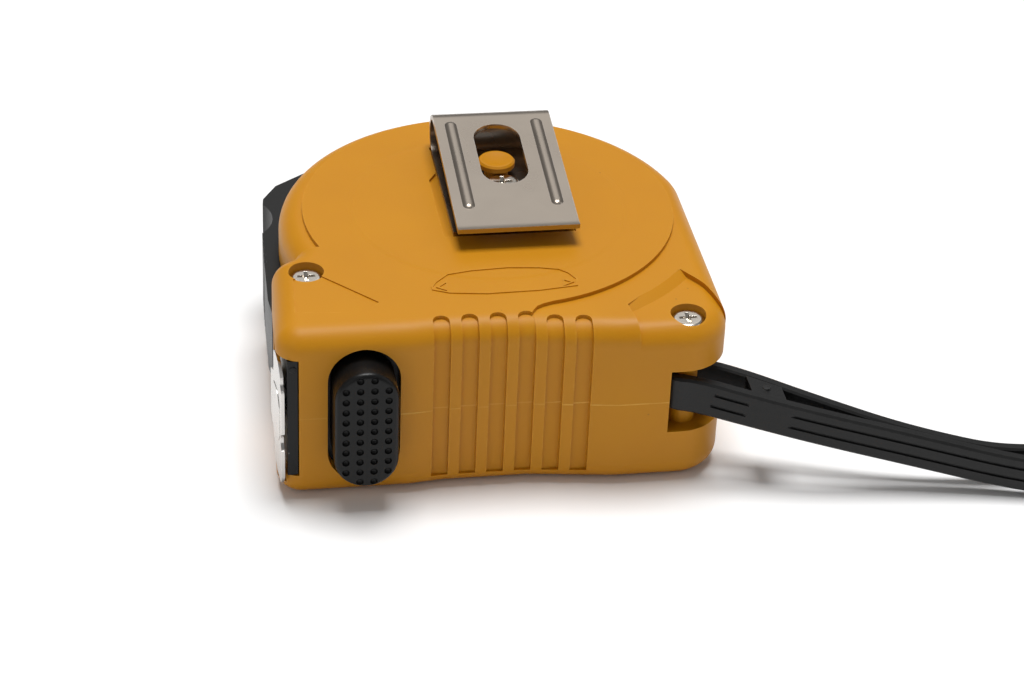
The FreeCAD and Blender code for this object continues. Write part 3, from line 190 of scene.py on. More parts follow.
def copy_of(piece, name, shift):
    twin = piece.copy()
    twin.data = piece.data.copy()
    twin.name = twin.data.name = name
    twin.data.transform(Matrix.Translation(mm(*shift)))
    bpy.context.scene.collection.objects.link(twin)
    return twin


def tilt(piece, degrees, centre, axis):
    """Turns a finished mesh about a point, with its place kept in the mesh."""
    around = Matrix.Translation(mm(*centre))
    spin = Matrix.Rotation(math.radians(degrees), 4, axis)
    piece.data.transform(around @ spin @ around.inverted())


def install(piece, body, slot, *stands_for):
    """The finished piece rides on its body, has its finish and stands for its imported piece."""
    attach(piece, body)
    if stands_for:
        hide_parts(*stands_for)
    focus(piece)
    piece.data.materials.clear()
    piece.data.materials.append(FINISHES[slot])
    print(piece.name, "on", body, "with", len(piece.data.polygons), "faces")


# %% [markdown]
# ## Surface effects that several finishes share
# Moulded plastic, plated steel and rubber all need the same three things at different strengths:
# a fine grain, worn edges and smudges. Each effect is one node group. It gives out a height or a
# mask, and every material decides what to do with it.

# %% Helpers for node groups
def new_group(name, inputs, outputs):
    """An empty group with named number inputs and outputs."""
    group = bpy.data.node_groups.new(name, "ShaderNodeTree")
    for label, default in inputs:
        socket = group.interface.new_socket(name=label, in_out="INPUT", socket_type="NodeSocketFloat")
        socket.default_value = default
    for label, kind in outputs:
        group.interface.new_socket(name=label, in_out="OUTPUT", socket_type=kind)
    return group, group.nodes.new("NodeGroupInput"), group.nodes.new("NodeGroupOutput")


def add_node(tree, kind, values=(), **settings):
    """A node with its settings, and its unlinked inputs set by name or number."""
    node = tree.nodes.new(kind)
    for key, setting in settings.items():
        setattr(node, key, setting)
    for key, setting in dict(values).items():
        node.inputs[key].default_value = setting
    return node


def maths(tree, operation, first, second=0.0, third=None, clamp=False):
    """A Math node, fed by sockets or plain numbers; returns its result."""
    node = add_node(tree, "ShaderNodeMath", operation=operation, use_clamp=clamp)
    for socket, feed in zip(node.inputs, (first, second, third)):
        if feed is None:
            continue
        if isinstance(feed, (int, float)):
            socket.default_value = feed
        else:
            tree.links.new(feed, socket)
    return node.outputs[0]


def ramp(tree, feed, stops):
    """Maps a value through a ramp of (position, grey or colour) stops."""
    node = add_node(tree, "ShaderNodeValToRGB")
    while len(node.color_ramp.elements) < len(stops):
        node.color_ramp.elements.new(0.5)
    for element, (position, tone) in zip(node.color_ramp.elements, stops):
        element.position = position
        element.color = (tone, tone, tone, 1) if isinstance(tone, (int, float)) else (*tone, 1)
    tree.links.new(feed, node.inputs[0])
    return node.outputs[0]


# %% The grain group
grain, grain_in, grain_out = new_group(
    "fine_grain",
    [("Scale", 3000.0), ("Stretch X", 1.0), ("Stretch Y", 1.0), ("Stretch Z", 1.0)],
    [("Height", "NodeSocketFloat"), ("Patches", "NodeSocketFloat")],
)
where = add_node(grain, "ShaderNodeTexCoord")
stretch = add_node(grain, "ShaderNodeCombineXYZ")
for number, label in enumerate(("Stretch X", "Stretch Y", "Stretch Z")):
    grain.links.new(grain_in.outputs[label], stretch.inputs[number])
stretched = add_node(grain, "ShaderNodeVectorMath", operation="MULTIPLY")
grain.links.new(where.outputs["Object"], stretched.inputs[0])
grain.links.new(stretch.outputs[0], stretched.inputs[1])
fine = add_node(grain, "ShaderNodeTexNoise", {"Detail": 4.0, "Roughness": 0.6})
grain.links.new(stretched.outputs[0], fine.inputs["Vector"])
grain.links.new(grain_in.outputs["Scale"], fine.inputs["Scale"])
grain.links.new(fine.outputs["Fac"], grain_out.inputs["Height"])
coarse = add_node(grain, "ShaderNodeTexNoise", {"Detail": 3.0, "Scale": 55.0, "Roughness": 0.55})
grain.links.new(where.outputs["Object"], coarse.inputs["Vector"])
grain.links.new(coarse.outputs["Fac"], grain_out.inputs["Patches"])
print("grain group has", len(grain.nodes), "nodes")

# %% The edge wear group
wear, wear_in, wear_out = new_group(
    "edge_wear", [("Radius", 0.0004), ("Breakup", 900.0)], [("Mask", "NodeSocketFloat")]
)
rounded = add_node(wear, "ShaderNodeBevel", samples=4)
wear.links.new(wear_in.outputs["Radius"], rounded.inputs["Radius"])
surface = add_node(wear, "ShaderNodeNewGeometry")
agreement = add_node(wear, "ShaderNodeVectorMath", operation="DOT_PRODUCT")
wear.links.new(rounded.outputs[0], agreement.inputs[0])
wear.links.new(surface.outputs["Normal"], agreement.inputs[1])
bend = maths(wear, "SUBTRACT", 1.0, agreement.outputs["Value"])
where = add_node(wear, "ShaderNodeTexCoord")
scuffs = add_node(wear, "ShaderNodeTexNoise", {"Detail": 5.0, "Roughness": 0.7})
wear.links.new(where.outputs["Object"], scuffs.inputs["Vector"])
wear.links.new(wear_in.outputs["Breakup"], scuffs.inputs["Scale"])
patchy = ramp(wear, scuffs.outputs["Fac"], [(0.42, 0.0), (0.62, 1.0)])
bend_more = maths(wear, "MULTIPLY", bend, 7.0, clamp=True)
worn = maths(wear, "MULTIPLY", bend_more, patchy, clamp=True)
wear.links.new(worn, wear_out.inputs["Mask"])
print("edge wear group has", len(wear.nodes), "nodes")

# %% The speck group
specks, specks_in, specks_out = new_group(
    "tiny_specks", [("Scale", 700.0), ("Size", 0.09)], [("Mask", "NodeSocketFloat")]
)
where = add_node(specks, "ShaderNodeTexCoord")
cells = add_node(specks, "ShaderNodeTexVoronoi")
specks.links.new(where.outputs["Object"], cells.inputs["Vector"])
specks.links.new(specks_in.outputs["Scale"], cells.inputs["Scale"])
near = maths(specks, "LESS_THAN", cells.outputs["Distance"], specks_in.outputs["Size"])
split = add_node(specks, "ShaderNodeSeparateColor")
specks.links.new(cells.outputs["Color"], split.inputs[0])
seldom = maths(specks, "GREATER_THAN", split.outputs[0], 0.93)
specks.links.new(maths(specks, "MULTIPLY", near, seldom), specks_out.inputs["Mask"])
print("speck group has", len(specks.nodes), "nodes")

# %% [markdown]
# ## A material's skeleton
# Every finish starts from one Principled shader with its constants set on its own sockets, then
# mixes a second tone by some mask, varies the roughness and adds a bump. The helper below lays out
# that skeleton, so each finish is a few lines of choices.

# %% The material helper
def use_group(tree, group, **values):
    node = tree.nodes.new("ShaderNodeGroup")
    node.node_tree = group
    for key, setting in values.items():
        node.inputs[key.replace("_", " ")].default_value = setting
    return node


def mix_tone(tree, mask, first, second):
    """Between two colours, or a colour socket and a colour, by a mask."""
    node = add_node(tree, "ShaderNodeMix", data_type="RGBA")
    for socket, feed in ((node.inputs[6], first), (node.inputs[7], second)):
        if isinstance(feed, tuple):
            socket.default_value = (*feed, 1)
        else:
            tree.links.new(feed, socket)
    tree.links.new(mask, node.inputs[0])
    return node.outputs[2]


def new_finish(name, metallic=0.0, **constants):
    """A material with its Principled shader; returns material, tree and shader."""
    material = bpy.data.materials.new(name)
    material.use_nodes = True
    tree = material.node_tree
    shader = tree.nodes["Principled BSDF"]
    shader.inputs["Metallic"].default_value = metallic
    for key, setting in constants.items():
        shader.inputs[key.replace("_", " ")].default_value = setting
    return material, tree, shader


def vary_roughness(tree, shader, feed, low, high):
    limits = {"From Min": 0.3, "From Max": 0.7, "To Min": low, "To Max": high}
    spread = add_node(tree, "ShaderNodeMapRange", limits)
    tree.links.new(feed, spread.inputs["Value"])
    tree.links.new(spread.outputs["Result"], shader.inputs["Roughness"])


def bump(tree, shader, height, distance, strength=1.0, after=None):
    """A Bump node on the shader's normal; chains after an earlier one."""
    node = add_node(tree, "ShaderNodeBump", {"Strength": strength, "Distance": distance})
    tree.links.new(height, node.inputs["Height"])
    if after is not None:
        tree.links.new(after, node.inputs["Normal"])
    tree.links.new(node.outputs[0], shader.inputs["Normal"])
    return node.outputs[0]


FINISHES = {}

# %% [markdown]
# ## The case plastic
# The case is moulded ABS, a warm yellow-orange, satin on the flats. It has a faint grain, a very
# faint ring in the raised disc, and along the parting line of its two halves a hair of lighter
# flash, broken here and there. That line lies at one height, so a mask on the Object Z coordinate
# draws it.

# %% Case plastic
CASE_TONE = (0.560, 0.238, 0.004)
CASE_DEEP = (0.500, 0.200, 0.003)
CASE_PALE = (0.760, 0.420, 0.070)
SEAM_HEIGHT = 0.014

case_plastic, tree, shader = new_finish(
    "case_plastic", Specular_IOR_Level=0.26, Subsurface_Weight=0.06, Subsurface_Scale=0.0015
)
shader.inputs["Subsurface Radius"].default_value = (1.0, 0.45, 0.1)
texture = use_group(tree, grain, Scale=2600.0)
edges = use_group(tree, wear, Radius=0.00045, Breakup=700.0)
dust = use_group(tree, specks, Scale=420.0, Size=0.07)
place = add_node(tree, "ShaderNodeTexCoord")
axes = add_node(tree, "ShaderNodeSeparateXYZ")
tree.links.new(place.outputs["Object"], axes.inputs[0])
off_seam = maths(tree, "ABSOLUTE", maths(tree, "SUBTRACT", axes.outputs["Z"], SEAM_HEIGHT))
on_seam = maths(tree, "LESS_THAN", off_seam, 0.00009)
broken = add_node(tree, "ShaderNodeTexNoise", {"Scale": 160.0, "Detail": 2.0})
tree.links.new(place.outputs["Object"], broken.inputs["Vector"])
flash = maths(tree, "MULTIPLY", on_seam, ramp(tree, broken.outputs["Fac"], [(0.40, 0.15), (0.60, 0.75)]))
tone = mix_tone(tree, texture.outputs["Patches"], CASE_DEEP, CASE_TONE)
tone = mix_tone(tree, maths(tree, "MULTIPLY", edges.outputs["Mask"], 0.22), tone, CASE_PALE)
tone = mix_tone(tree, flash, tone, CASE_PALE)
tone = mix_tone(tree, maths(tree, "MULTIPLY", dust.outputs["Mask"], 0.35), tone, (0.16, 0.07, 0.01))
tree.links.new(tone, shader.inputs["Base Color"])
vary_roughness(tree, shader, texture.outputs["Patches"], 0.40, 0.52)
from_axis = add_node(tree, "ShaderNodeVectorMath", operation="LENGTH")
flat_place = add_node(tree, "ShaderNodeVectorMath", {1: (1, 1, 0)}, operation="MULTIPLY")
tree.links.new(place.outputs["Object"], flat_place.inputs[0])
tree.links.new(flat_place.outputs[0], from_axis.inputs[0])
ring = add_node(
    tree, "ShaderNodeMapRange", {"From Min": 0.0206, "From Max": 0.0214, "To Min": 0.0, "To Max": 1.0}
)
tree.links.new(from_axis.outputs["Value"], ring.inputs["Value"])
first = bump(tree, shader, ring.outputs["Result"], 0.00006)
second = bump(tree, shader, texture.outputs["Height"], 0.000012, 0.8, first)
bump(tree, shader, maths(tree, "MULTIPLY", flash, -1.0), 0.00005, 0.6, second)
FINISHES["case_plastic"] = case_plastic
print("case plastic has", len(tree.nodes), "nodes")

# %% [markdown]
# ## Black plastics and rubber
# The lock, the button, the bumper and the strap are all black, but not the same black. The lock has
# a spark-eroded grain that greys it, the button is slick, the strap is soft PVC with scuffs.

# %% A black finish
def black_finish(name, tone, scuffed, rough, grain_size, depth, **constants):
    material, tree, shader = new_finish(name, **constants)
    texture = use_group(tree, grain, Scale=grain_size)
    edges = use_group(tree, wear, Radius=0.0003, Breakup=1100.0)
    dust = use_group(tree, specks, Scale=600.0, Size=0.08)
    mixed = mix_tone(tree, texture.outputs["Patches"], tone, tuple(1.5 * c for c in tone))
    mixed = mix_tone(tree, maths(tree, "MULTIPLY", edges.outputs["Mask"], 0.4), mixed, scuffed)
    mixed = mix_tone(tree, maths(tree, "MULTIPLY", dust.outputs["Mask"], 0.5), mixed, (0.25, 0.24, 0.22))
    tree.links.new(mixed, shader.inputs["Base Color"])
    vary_roughness(tree, shader, texture.outputs["Patches"], rough - 0.07, rough + 0.07)
    bump(tree, shader, texture.outputs["Height"], depth)
    FINISHES[name] = material
    print(name, "has", len(tree.nodes), "nodes")


black_finish(
    "lock_plastic", (0.006, 0.006, 0.006), (0.05, 0.05, 0.05), 0.38, 4200.0, 0.00003, Specular_IOR_Level=0.30
)
black_finish(
    "button_plastic", (0.004, 0.004, 0.004), (0.03, 0.03, 0.03), 0.30, 3600.0, 0.000012,
    Specular_IOR_Level=0.22
)
black_finish(
    "guard_rubber", (0.004, 0.004, 0.004), (0.03, 0.03, 0.03), 0.28, 3000.0, 0.00001, Specular_IOR_Level=0.25
)
black_finish(
    "strap_pvc", (0.007, 0.007, 0.007), (0.05, 0.05, 0.05), 0.44, 2200.0, 0.00003, Specular_IOR_Level=0.30
)
black_finish(
    "pad_rubber", (0.030, 0.028, 0.026), (0.08, 0.08, 0.08), 0.75, 2600.0, 0.00004, Specular_IOR_Level=0.3
)

# %% [markdown]
# ## Plated and spring steels
# Nickel plate is a warm grey mirror blurred by rolling marks, so its grain is stretched along the
# strip. Handling leaves soft patches in its roughness. The same recipe, bluer and darker, makes
# spring steel.

# %% A steel finish
def steel_finish(name, tone, dull, low, high, stretch, depth):
    material, tree, shader = new_finish(name, metallic=1.0)
    texture = use_group(
        tree, grain, Scale=2400.0, Stretch_X=stretch[0], Stretch_Y=stretch[1], Stretch_Z=stretch[2]
    )
    edges = use_group(tree, wear, Radius=0.0002, Breakup=1500.0)
    dust = use_group(tree, specks, Scale=900.0, Size=0.10)
    mixed = mix_tone(tree, texture.outputs["Patches"], dull, tone)
    mixed = mix_tone(tree, maths(tree, "MULTIPLY", edges.outputs["Mask"], 0.6), mixed, (0.86, 0.84, 0.80))
    mixed = mix_tone(tree, maths(tree, "MULTIPLY", dust.outputs["Mask"], 0.55), mixed, (0.12, 0.10, 0.08))
    tree.links.new(mixed, shader.inputs["Base Color"])
    vary_roughness(tree, shader, texture.outputs["Patches"], low, high)
    bump(tree, shader, texture.outputs["Height"], depth)
    FINISHES[name] = material
    print(name, "has", len(tree.nodes), "nodes")


steel_finish("clip_nickel", (0.44, 0.385, 0.325), (0.36, 0.31, 0.26), 0.24, 0.34, (1.0, 0.12, 1.0), 0.000008)
steel_finish("hook_nickel", (0.66, 0.64, 0.62), (0.55, 0.53, 0.50), 0.18, 0.32, (1.0, 1.0, 0.15), 0.000006)
steel_finish("screw_nickel", (0.72, 0.67, 0.60), (0.55, 0.50, 0.44), 0.12, 0.28, (1.0, 1.0, 1.0), 0.000005)
steel_finish("spring_steel", (0.30, 0.33, 0.40), (0.20, 0.22, 0.28), 0.25, 0.40, (1.0, 1.0, 0.1), 0.000006)

# %% [markdown]
# ## Inside: white mouldings and the lacquered blade
# The reel and its spindle are unpainted white plastic. The blade is lacquered yellow, with a black
# graduation along each edge: a line every millimetre, longer at five and at ten. The lines follow
# the blade's own slope, so the pattern is turned with a Mapping node.

# %% Reel plastic
reel_plastic, tree, shader = new_finish("reel_plastic", Specular_IOR_Level=0.4)
texture = use_group(tree, grain, Scale=2000.0)
edges = use_group(tree, wear, Radius=0.0003, Breakup=800.0)
tone = mix_tone(tree, texture.outputs["Patches"], (0.60, 0.59, 0.53), (0.70, 0.69, 0.64))
tone = mix_tone(tree, maths(tree, "MULTIPLY", edges.outputs["Mask"], 0.4), tone, (0.85, 0.84, 0.80))
tree.links.new(tone, shader.inputs["Base Color"])
vary_roughness(tree, shader, texture.outputs["Patches"], 0.42, 0.58)
bump(tree, shader, texture.outputs["Height"], 0.00002)
FINISHES["reel_plastic"] = reel_plastic
print("reel plastic has", len(tree.nodes), "nodes")

# %% Blade lacquer
BLADE_SLOPE = math.radians(5)
BLADE_HALF_WIDTH = 0.0095

blade_paint, tree, shader = new_finish("blade_paint", Specular_IOR_Level=0.5)
texture = use_group(tree, grain, Scale=3000.0)
edges = use_group(tree, wear, Radius=0.0001, Breakup=1500.0)
place = add_node(tree, "ShaderNodeTexCoord")
along_blade = add_node(tree, "ShaderNodeMapping", {"Rotation": (0, 0, -BLADE_SLOPE)})
tree.links.new(place.outputs["Object"], along_blade.inputs[0])
axes = add_node(tree, "ShaderNodeSeparateXYZ")
tree.links.new(along_blade.outputs[0], axes.inputs[0])
from_edge = maths(
    tree,
    "SUBTRACT",
    BLADE_HALF_WIDTH,
    maths(tree, "ABSOLUTE", maths(tree, "SUBTRACT", axes.outputs["Z"], SEAM_HEIGHT)),
)
marks = None
for pitch, reach in ((0.001, 0.0022), (0.005, 0.0038), (0.010, 0.0060)):
    step = maths(tree, "FRACT", maths(tree, "DIVIDE", maths(tree, "ADD", axes.outputs["X"], 0.1), pitch))
    line = maths(tree, "LESS_THAN", step, 0.00018 / pitch)
    short = maths(tree, "LESS_THAN", from_edge, reach)
    mark = maths(tree, "MULTIPLY", line, short)
    marks = mark if marks is None else maths(tree, "MAXIMUM", marks, mark)
tone = mix_tone(tree, texture.outputs["Patches"], (0.74, 0.50, 0.030), (0.82, 0.58, 0.045))
tone = mix_tone(tree, maths(tree, "MULTIPLY", edges.outputs["Mask"], 0.5), tone, (0.55, 0.55, 0.52))
tone = mix_tone(tree, marks, tone, (0.012, 0.012, 0.012))
tree.links.new(tone, shader.inputs["Base Color"])
vary_roughness(tree, shader, texture.outputs["Patches"], 0.26, 0.36)
bump(tree, shader, texture.outputs["Height"], 0.000006)
FINISHES["blade_paint"] = blade_paint
print("blade lacquer has", len(tree.nodes), "nodes")

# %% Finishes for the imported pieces
for entry in frame["record"]["subparts"]:
    packed = nodes[entry["node"]]
    packed.data.materials.clear()
    packed.data.materials.append(FINISHES[entry["material_slot"]])
print("finishes:", sorted(FINISHES))

# %% [markdown]
# ## The wrist strap
# The strap is a soft PVC band, 5.5 mm wide and 1.8 mm thick, that stands on edge. It loops round a
# post inside the heel, its two strands leave through the slot and sag to the table, and they part
# into a long narrow loop behind. Its line is a NURBS curve through a handful of control points; a
# band section with two long grooves is then carried along that line.

# %% The strap's line
POST = (24.8, -30.7)
REST_HEIGHT = 2.8
MID_CASE = 14.0
STRAP_ROUTE = [
    (-3.0, -0.01, 1.06),
    (-3.0, -3.05, 1.12),
    (1.7, -3.05, 1.03),
    (8.2, -4.6, 0.885),
    (19.2, -7.5, 0.68),
    (33.2, -9.7, 0.385),
    (49.8, -12.9, 0.055),
    (67.2, -17.8, 0.0),
    (83.2, -23.8, 0.0),
    (98.2, -25.8, 0.0),
    (109.2, -20.3, 0.0),
    (111.2, -10.3, 0.0),
    (103.7, -2.8, 0.0),
    (90.2, -2.3, 0.0),
    (73.2, -6.1, 0.0),
    (50.3, -10.3, 0.005),
    (33.2, -7.4, 0.32),
    (19.2, -2.9, 0.645),
    (9.2, 1.3, 0.86),
    (2.7, 3.05, 0.98),
    (-3.0, 3.05, 1.0),
    (-3.0, 0.01, 1.06),
]

line_data = bpy.data.curves.new("strap_line", "CURVE")
line_data.dimensions = "3D"
line_data.resolution_u = 16
spline = line_data.splines.new("NURBS")
spline.points.add(len(STRAP_ROUTE) - 1)
for point, (out, across, lift) in zip(spline.points, STRAP_ROUTE):
    spot = mm(POST[0] + out, POST[1] + across, REST_HEIGHT + lift * (MID_CASE - REST_HEIGHT))
    point.co = (*spot, 1)
spline.order_u = 3
spline.use_endpoint_u = True
line = bpy.data.objects.new("strap_line", line_data)
line_mesh = bpy.data.meshes.new_from_object(line)
strap_points = [vertex.co.copy() for vertex in line_mesh.vertices]
bpy.data.objects.remove(line)

# %% The strap's band
BAND_HALF = 0.9
BAND_EDGE = 2.75
GROOVES = (1.15, -0.75)
KEEPER = (0.0336, 0.0400)


def band_section(groove_depth):
    """Half thickness and height pairs, in millimetres, round the band once."""
    rim = [(BAND_HALF - 0.35, BAND_EDGE), (BAND_HALF, BAND_EDGE - 0.35)]
    for height in GROOVES:
        rim += [
            (BAND_HALF, height + 0.28),
            (BAND_HALF - groove_depth, height + 0.16),
            (BAND_HALF - groove_depth, height - 0.16),
            (BAND_HALF, height - 0.28),
        ]
    rim += [(BAND_HALF, -BAND_EDGE + 0.35), (BAND_HALF - 0.35, -BAND_EDGE)]
    rim += [(-BAND_HALF + 0.3, -BAND_EDGE), (-BAND_HALF, -BAND_EDGE + 0.3)]
    rim += [(-BAND_HALF, BAND_EDGE - 0.3), (-BAND_HALF + 0.3, BAND_EDGE)]
    return rim


band = bmesh.new()
rings = []
for number, point in enumerate(strap_points):
    before = strap_points[max(number - 1, 0)]
    after = strap_points[min(number + 1, len(strap_points) - 1)]
    ahead = (after - before).normalized()
    outward = ahead.cross(Vector((0, 0, 1))).normalized()
    upward = outward.cross(ahead).normalized()
    near_post = (point - mm(*POST, MID_CASE)).length < 0.0052
    depth = 0.0 if near_post or KEEPER[0] < point.x < KEEPER[1] else 0.32
    rings.append(
        [band.verts.new(point + outward * a * MM + upward * b * MM) for a, b in band_section(depth)]
    )
for ring_a, ring_b in zip(rings, rings[1:]):
    for k in range(len(ring_a)):
        j = (k + 1) % len(ring_a)
        band.faces.new((ring_a[k], ring_a[j], ring_b[j], ring_b[k]))
band.faces.new(rings[0][::-1])
band.faces.new(rings[-1])
bmesh.ops.recalc_face_normals(band, faces=band.faces)
strap_mesh = bpy.data.meshes.new("wrist_strap")
band.to_mesh(strap_mesh)
band.free()
wrist_strap = bpy.data.objects.new("wrist_strap", strap_mesh)
bpy.context.scene.collection.objects.link(wrist_strap)
focus(wrist_strap)
bpy.ops.object.shade_smooth_by_angle(angle=math.radians(30))
install(wrist_strap, "strap", "strap_pvc", "strap_loop")

# %% [markdown]
# ## The keeper on the strap
# Just outside the slot a small block joins the two strands, with a stud on top where the strap was
# moulded. Its four upright edges are found on the strap's own line, so that it sits snugly between
# the strands; then all its edges are rounded.

# %% The keeper
KEEPER_HEIGHT = 5.2
half_way = len(strap_points) // 2


def strand_at(strand, x):
    """The strand's middle at one distance along the case, in millimetres."""
    for a, b in zip(strand, strand[1:]):
        if min(a.x, b.x) <= x * MM <= max(a.x, b.x):
            return a.lerp(b, (x * MM - a.x) / (b.x - a.x)) / MM
    return strand[0] / MM


KEEPER_ENDS = (34.3, 39.3)
KEEPER_FOOT = 9.9
keeper = add_block(
    "strap_keeper",
    (KEEPER_ENDS[0], -36.0, KEEPER_FOOT),
    (KEEPER_ENDS[1], -32.0, KEEPER_FOOT + KEEPER_HEIGHT),
)
near_strand, far_strand = strap_points[:half_way], strap_points[half_way:]
for end in KEEPER_ENDS:
    near, far = strand_at(near_strand, end), strand_at(far_strand, end)
    sides = (
        (near.y + BAND_HALF, lambda y: y < -0.034),
        (far.y - BAND_HALF, lambda y: y > -0.034),
    )
    for across, is_side in sides:
        pick(keeper, verts=lambda v: abs(v.co.x - end * MM) < 1e-5 and is_side(v.co.y))
        chosen = [v for v in bmesh.from_edit_mesh(keeper.data).verts if v.select]
        sideways = across * MM - chosen[0].co.y
        upwards = (near.z - KEEPER_HEIGHT / 2) * MM - min(v.co.z for v in chosen)
        bpy.ops.transform.translate(value=(0, sideways, upwards))
        close_edit()
keeper_middle = sum(KEEPER_ENDS) / 2
middle = (strand_at(near_strand, keeper_middle) + strand_at(far_strand, keeper_middle)) / 2
stud = add_rod("stud", 0.62, (*middle.xy, middle.z), (*middle.xy, middle.z + KEEPER_HEIGHT / 2 + 0.35), 32)
carve(keeper, stud, operation="UNION")
soften(keeper, 0.22)
install(keeper, "strap", "strap_pvc", "strap_bridge")

# %% [markdown]
# ## The belt clip
# The clip is one strip of nickel-plated spring sheet. It starts as the flat base leaf; its rear end
# face is spun round the fold, drawn out into the sloping outer leaf, and its last stretch flattens
# into a small lip.

# %% The clip's strip
CLIP_LOW, CLIP_HIGH = -6.35, 11.95
CLIP_MIDDLE = (CLIP_LOW + CLIP_HIGH) / 2
SHEET = 0.8
SEAT = 27.5
FOLD_RADIUS = 3.55
FOLD = (20.4 - FOLD_RADIUS, SEAT + FOLD_RADIUS)
LEAF_SLOPE = math.radians(6.6)


def leaf_ahead(slope, length):
    return Vector((0, -math.cos(slope), -math.sin(slope))) * length * MM


belt_clip = add_block("belt_clip_sheet", (CLIP_LOW, -7.6, SEAT), (CLIP_HIGH, FOLD[0], SEAT + SHEET))
pick(belt_clip, faces=lambda f: f.normal.y > 0.9)
bpy.ops.mesh.spin(steps=20, angle=-math.pi - LEAF_SLOPE, center=mm(0, *FOLD), axis=(1, 0, 0))
bpy.ops.mesh.extrude_region_move(TRANSFORM_OT_translate={"value": leaf_ahead(LEAF_SLOPE, 27.6)})
bpy.ops.mesh.extrude_region_move(TRANSFORM_OT_translate={"value": leaf_ahead(math.radians(1.0), 0.7)})
bpy.ops.mesh.extrude_region_move(TRANSFORM_OT_translate={"value": leaf_ahead(math.radians(-4.0), 0.6)})
bpy.ops.mesh.select_all(action="SELECT")
bpy.ops.mesh.remove_doubles(threshold=1e-6)
bpy.ops.mesh.normals_make_consistent(inside=False)
close_edit()
tip = min(belt_clip.data.vertices, key=lambda v: v.co.y).co / MM
print("clip's tip at y", round(tip.y, 2), "z", round(tip.z, 2), "mm")

# %% [markdown]
# Three things are then pressed into the outer leaf: an oblong hole over the clip screw and, on
# each side of it, a round-ended rib that stiffens the sheet. A rib is a rod with a ball at each end,
# and only the part of it above the middle of the sheet is kept.

# %% The clip's hole and ribs
HOLE_MIDDLE = 6.6
HOLE_RADIUS = 3.6
HOLE_REACH = 15.5 / 2 - HOLE_RADIUS
punch = add_block(
    "punch",
    (CLIP_MIDDLE - HOLE_RADIUS, HOLE_MIDDLE - HOLE_REACH, 29.5),
    (CLIP_MIDDLE + HOLE_RADIUS, HOLE_MIDDLE + HOLE_REACH, 37),
)
punch_ends = [
    add_rod("punch_end", HOLE_RADIUS, (CLIP_MIDDLE, y, 29.5), (CLIP_MIDDLE, y, 37), 64)
    for y in (HOLE_MIDDLE - HOLE_REACH, HOLE_MIDDLE + HOLE_REACH)
]
carve(belt_clip, punch, *punch_ends)


def leaf_top(y):
    """The outer leaf's upper face at one place along it."""
    return FOLD[1] + FOLD_RADIUS / math.cos(LEAF_SLOPE) + (y - FOLD[0]) * math.tan(LEAF_SLOPE)


RIB_RADIUS = 1.3
RIB_RISE = 0.38
RIB_RUN = (-6.0, 14.6)


def clip_rib(x):
    """One rib, cut off flat inside the sheet."""
    ends = [(x, y, leaf_top(y) + RIB_RISE - RIB_RADIUS) for y in RIB_RUN]
    rib = add_rod("rib", RIB_RADIUS, *ends, 40)
    for spot in ends:
        deselect_all()
        bpy.ops.mesh.primitive_uv_sphere_add(
            segments=40, ring_count=20, radius=RIB_RADIUS * MM, location=mm(*spot)
        )
        ball = bpy.context.object
        bpy.ops.object.transform_apply(location=True, rotation=True, scale=True)
        carve(rib, ball, operation="UNION")
    pick(rib, faces=lambda f: True)
    bpy.ops.mesh.bisect(
        plane_co=mm(0, 0, leaf_top(0) - SHEET / 2),
        plane_no=(0, -math.sin(LEAF_SLOPE), math.cos(LEAF_SLOPE)),
        clear_inner=True,
        use_fill=True,
    )
    close_edit()
    return rib


carve(belt_clip, clip_rib(CLIP_MIDDLE - 6.7), clip_rib(CLIP_MIDDLE + 6.7), operation="UNION")
soften(belt_clip, 0.12, 2, 40)
install(belt_clip, "case", "clip_nickel", "belt_clip")

# %% [markdown]
# ## Screws
# All four screws have a pan head with a crossed recess. The head is a short rod whose upper edge is
# rolled over by a wide bevel. The cross is two blocks that narrow downwards, as the driver does.

# %% A pan head
def pan_head(name, radius, height):
    """A screw head with its top at the origin's height."""
    head = add_rod(name, radius, (0, 0, -height), (0, 0, 0), 48)
    pick(head, edges=lambda e: all(abs(v.co.z) < 1e-7 for v in e.verts))
    bpy.ops.mesh.bevel(offset=height * 0.55 * MM, segments=6, profile=0.55)
    close_edit()
    reach = radius * 0.62
    for a, b in ((reach, 0.34), (0.34, reach)):
        arm = add_block("arm", (-a, -b, -height * 0.62), (a, b, 0.5))
        pick(arm, faces=lambda f: f.normal.z < -0.9)
        bpy.ops.transform.resize(value=(0.62, 0.62, 1), center_override=(0, 0, 0))
        close_edit()
        carve(head, arm)
    return head


case_head = pan_head("case_head", 2.45, 1.4)
screws = []
SCREW_SPOTS = (("front", -29.2, -16.2, 27.2), ("rear", 24.8, -30.7, 25.9), ("crown", 0.5, 28.85, 26.6))
for name, x, y, top in SCREW_SPOTS:
    screw = copy_of(case_head, f"{name}_screw", (x, y, top))
    shank = add_rod("shank", 1.04, (x, y, 6.0), (x, y, top - 1.3), 24)
    carve(screw, shank, operation="UNION")
    soften(screw, 0.06, 2, 40)
    screws.append(screw)
bpy.data.objects.remove(case_head)
focus(screws[0])
for screw in screws:
    screw.select_set(True)
bpy.ops.object.join()
screws[0].name = screws[0].data.name = "case_screw_set"
install(screws[0], "case", "screw_nickel", "case_screws")

# %% The clip's screw
clip_head = pan_head("clip_head", 2.8, 1.45)
clip_screw = copy_of(clip_head, "clip_fixing", (2.9, 4.4, 29.8))
bpy.data.objects.remove(clip_head)
carve(clip_screw, add_rod("shank", 1.18, (2.9, 4.4, 19.4), (2.9, 4.4, 28.45), 24), operation="UNION")
soften(clip_screw, 0.06, 2, 40)
install(clip_screw, "case", "screw_nickel", "clip_screw")

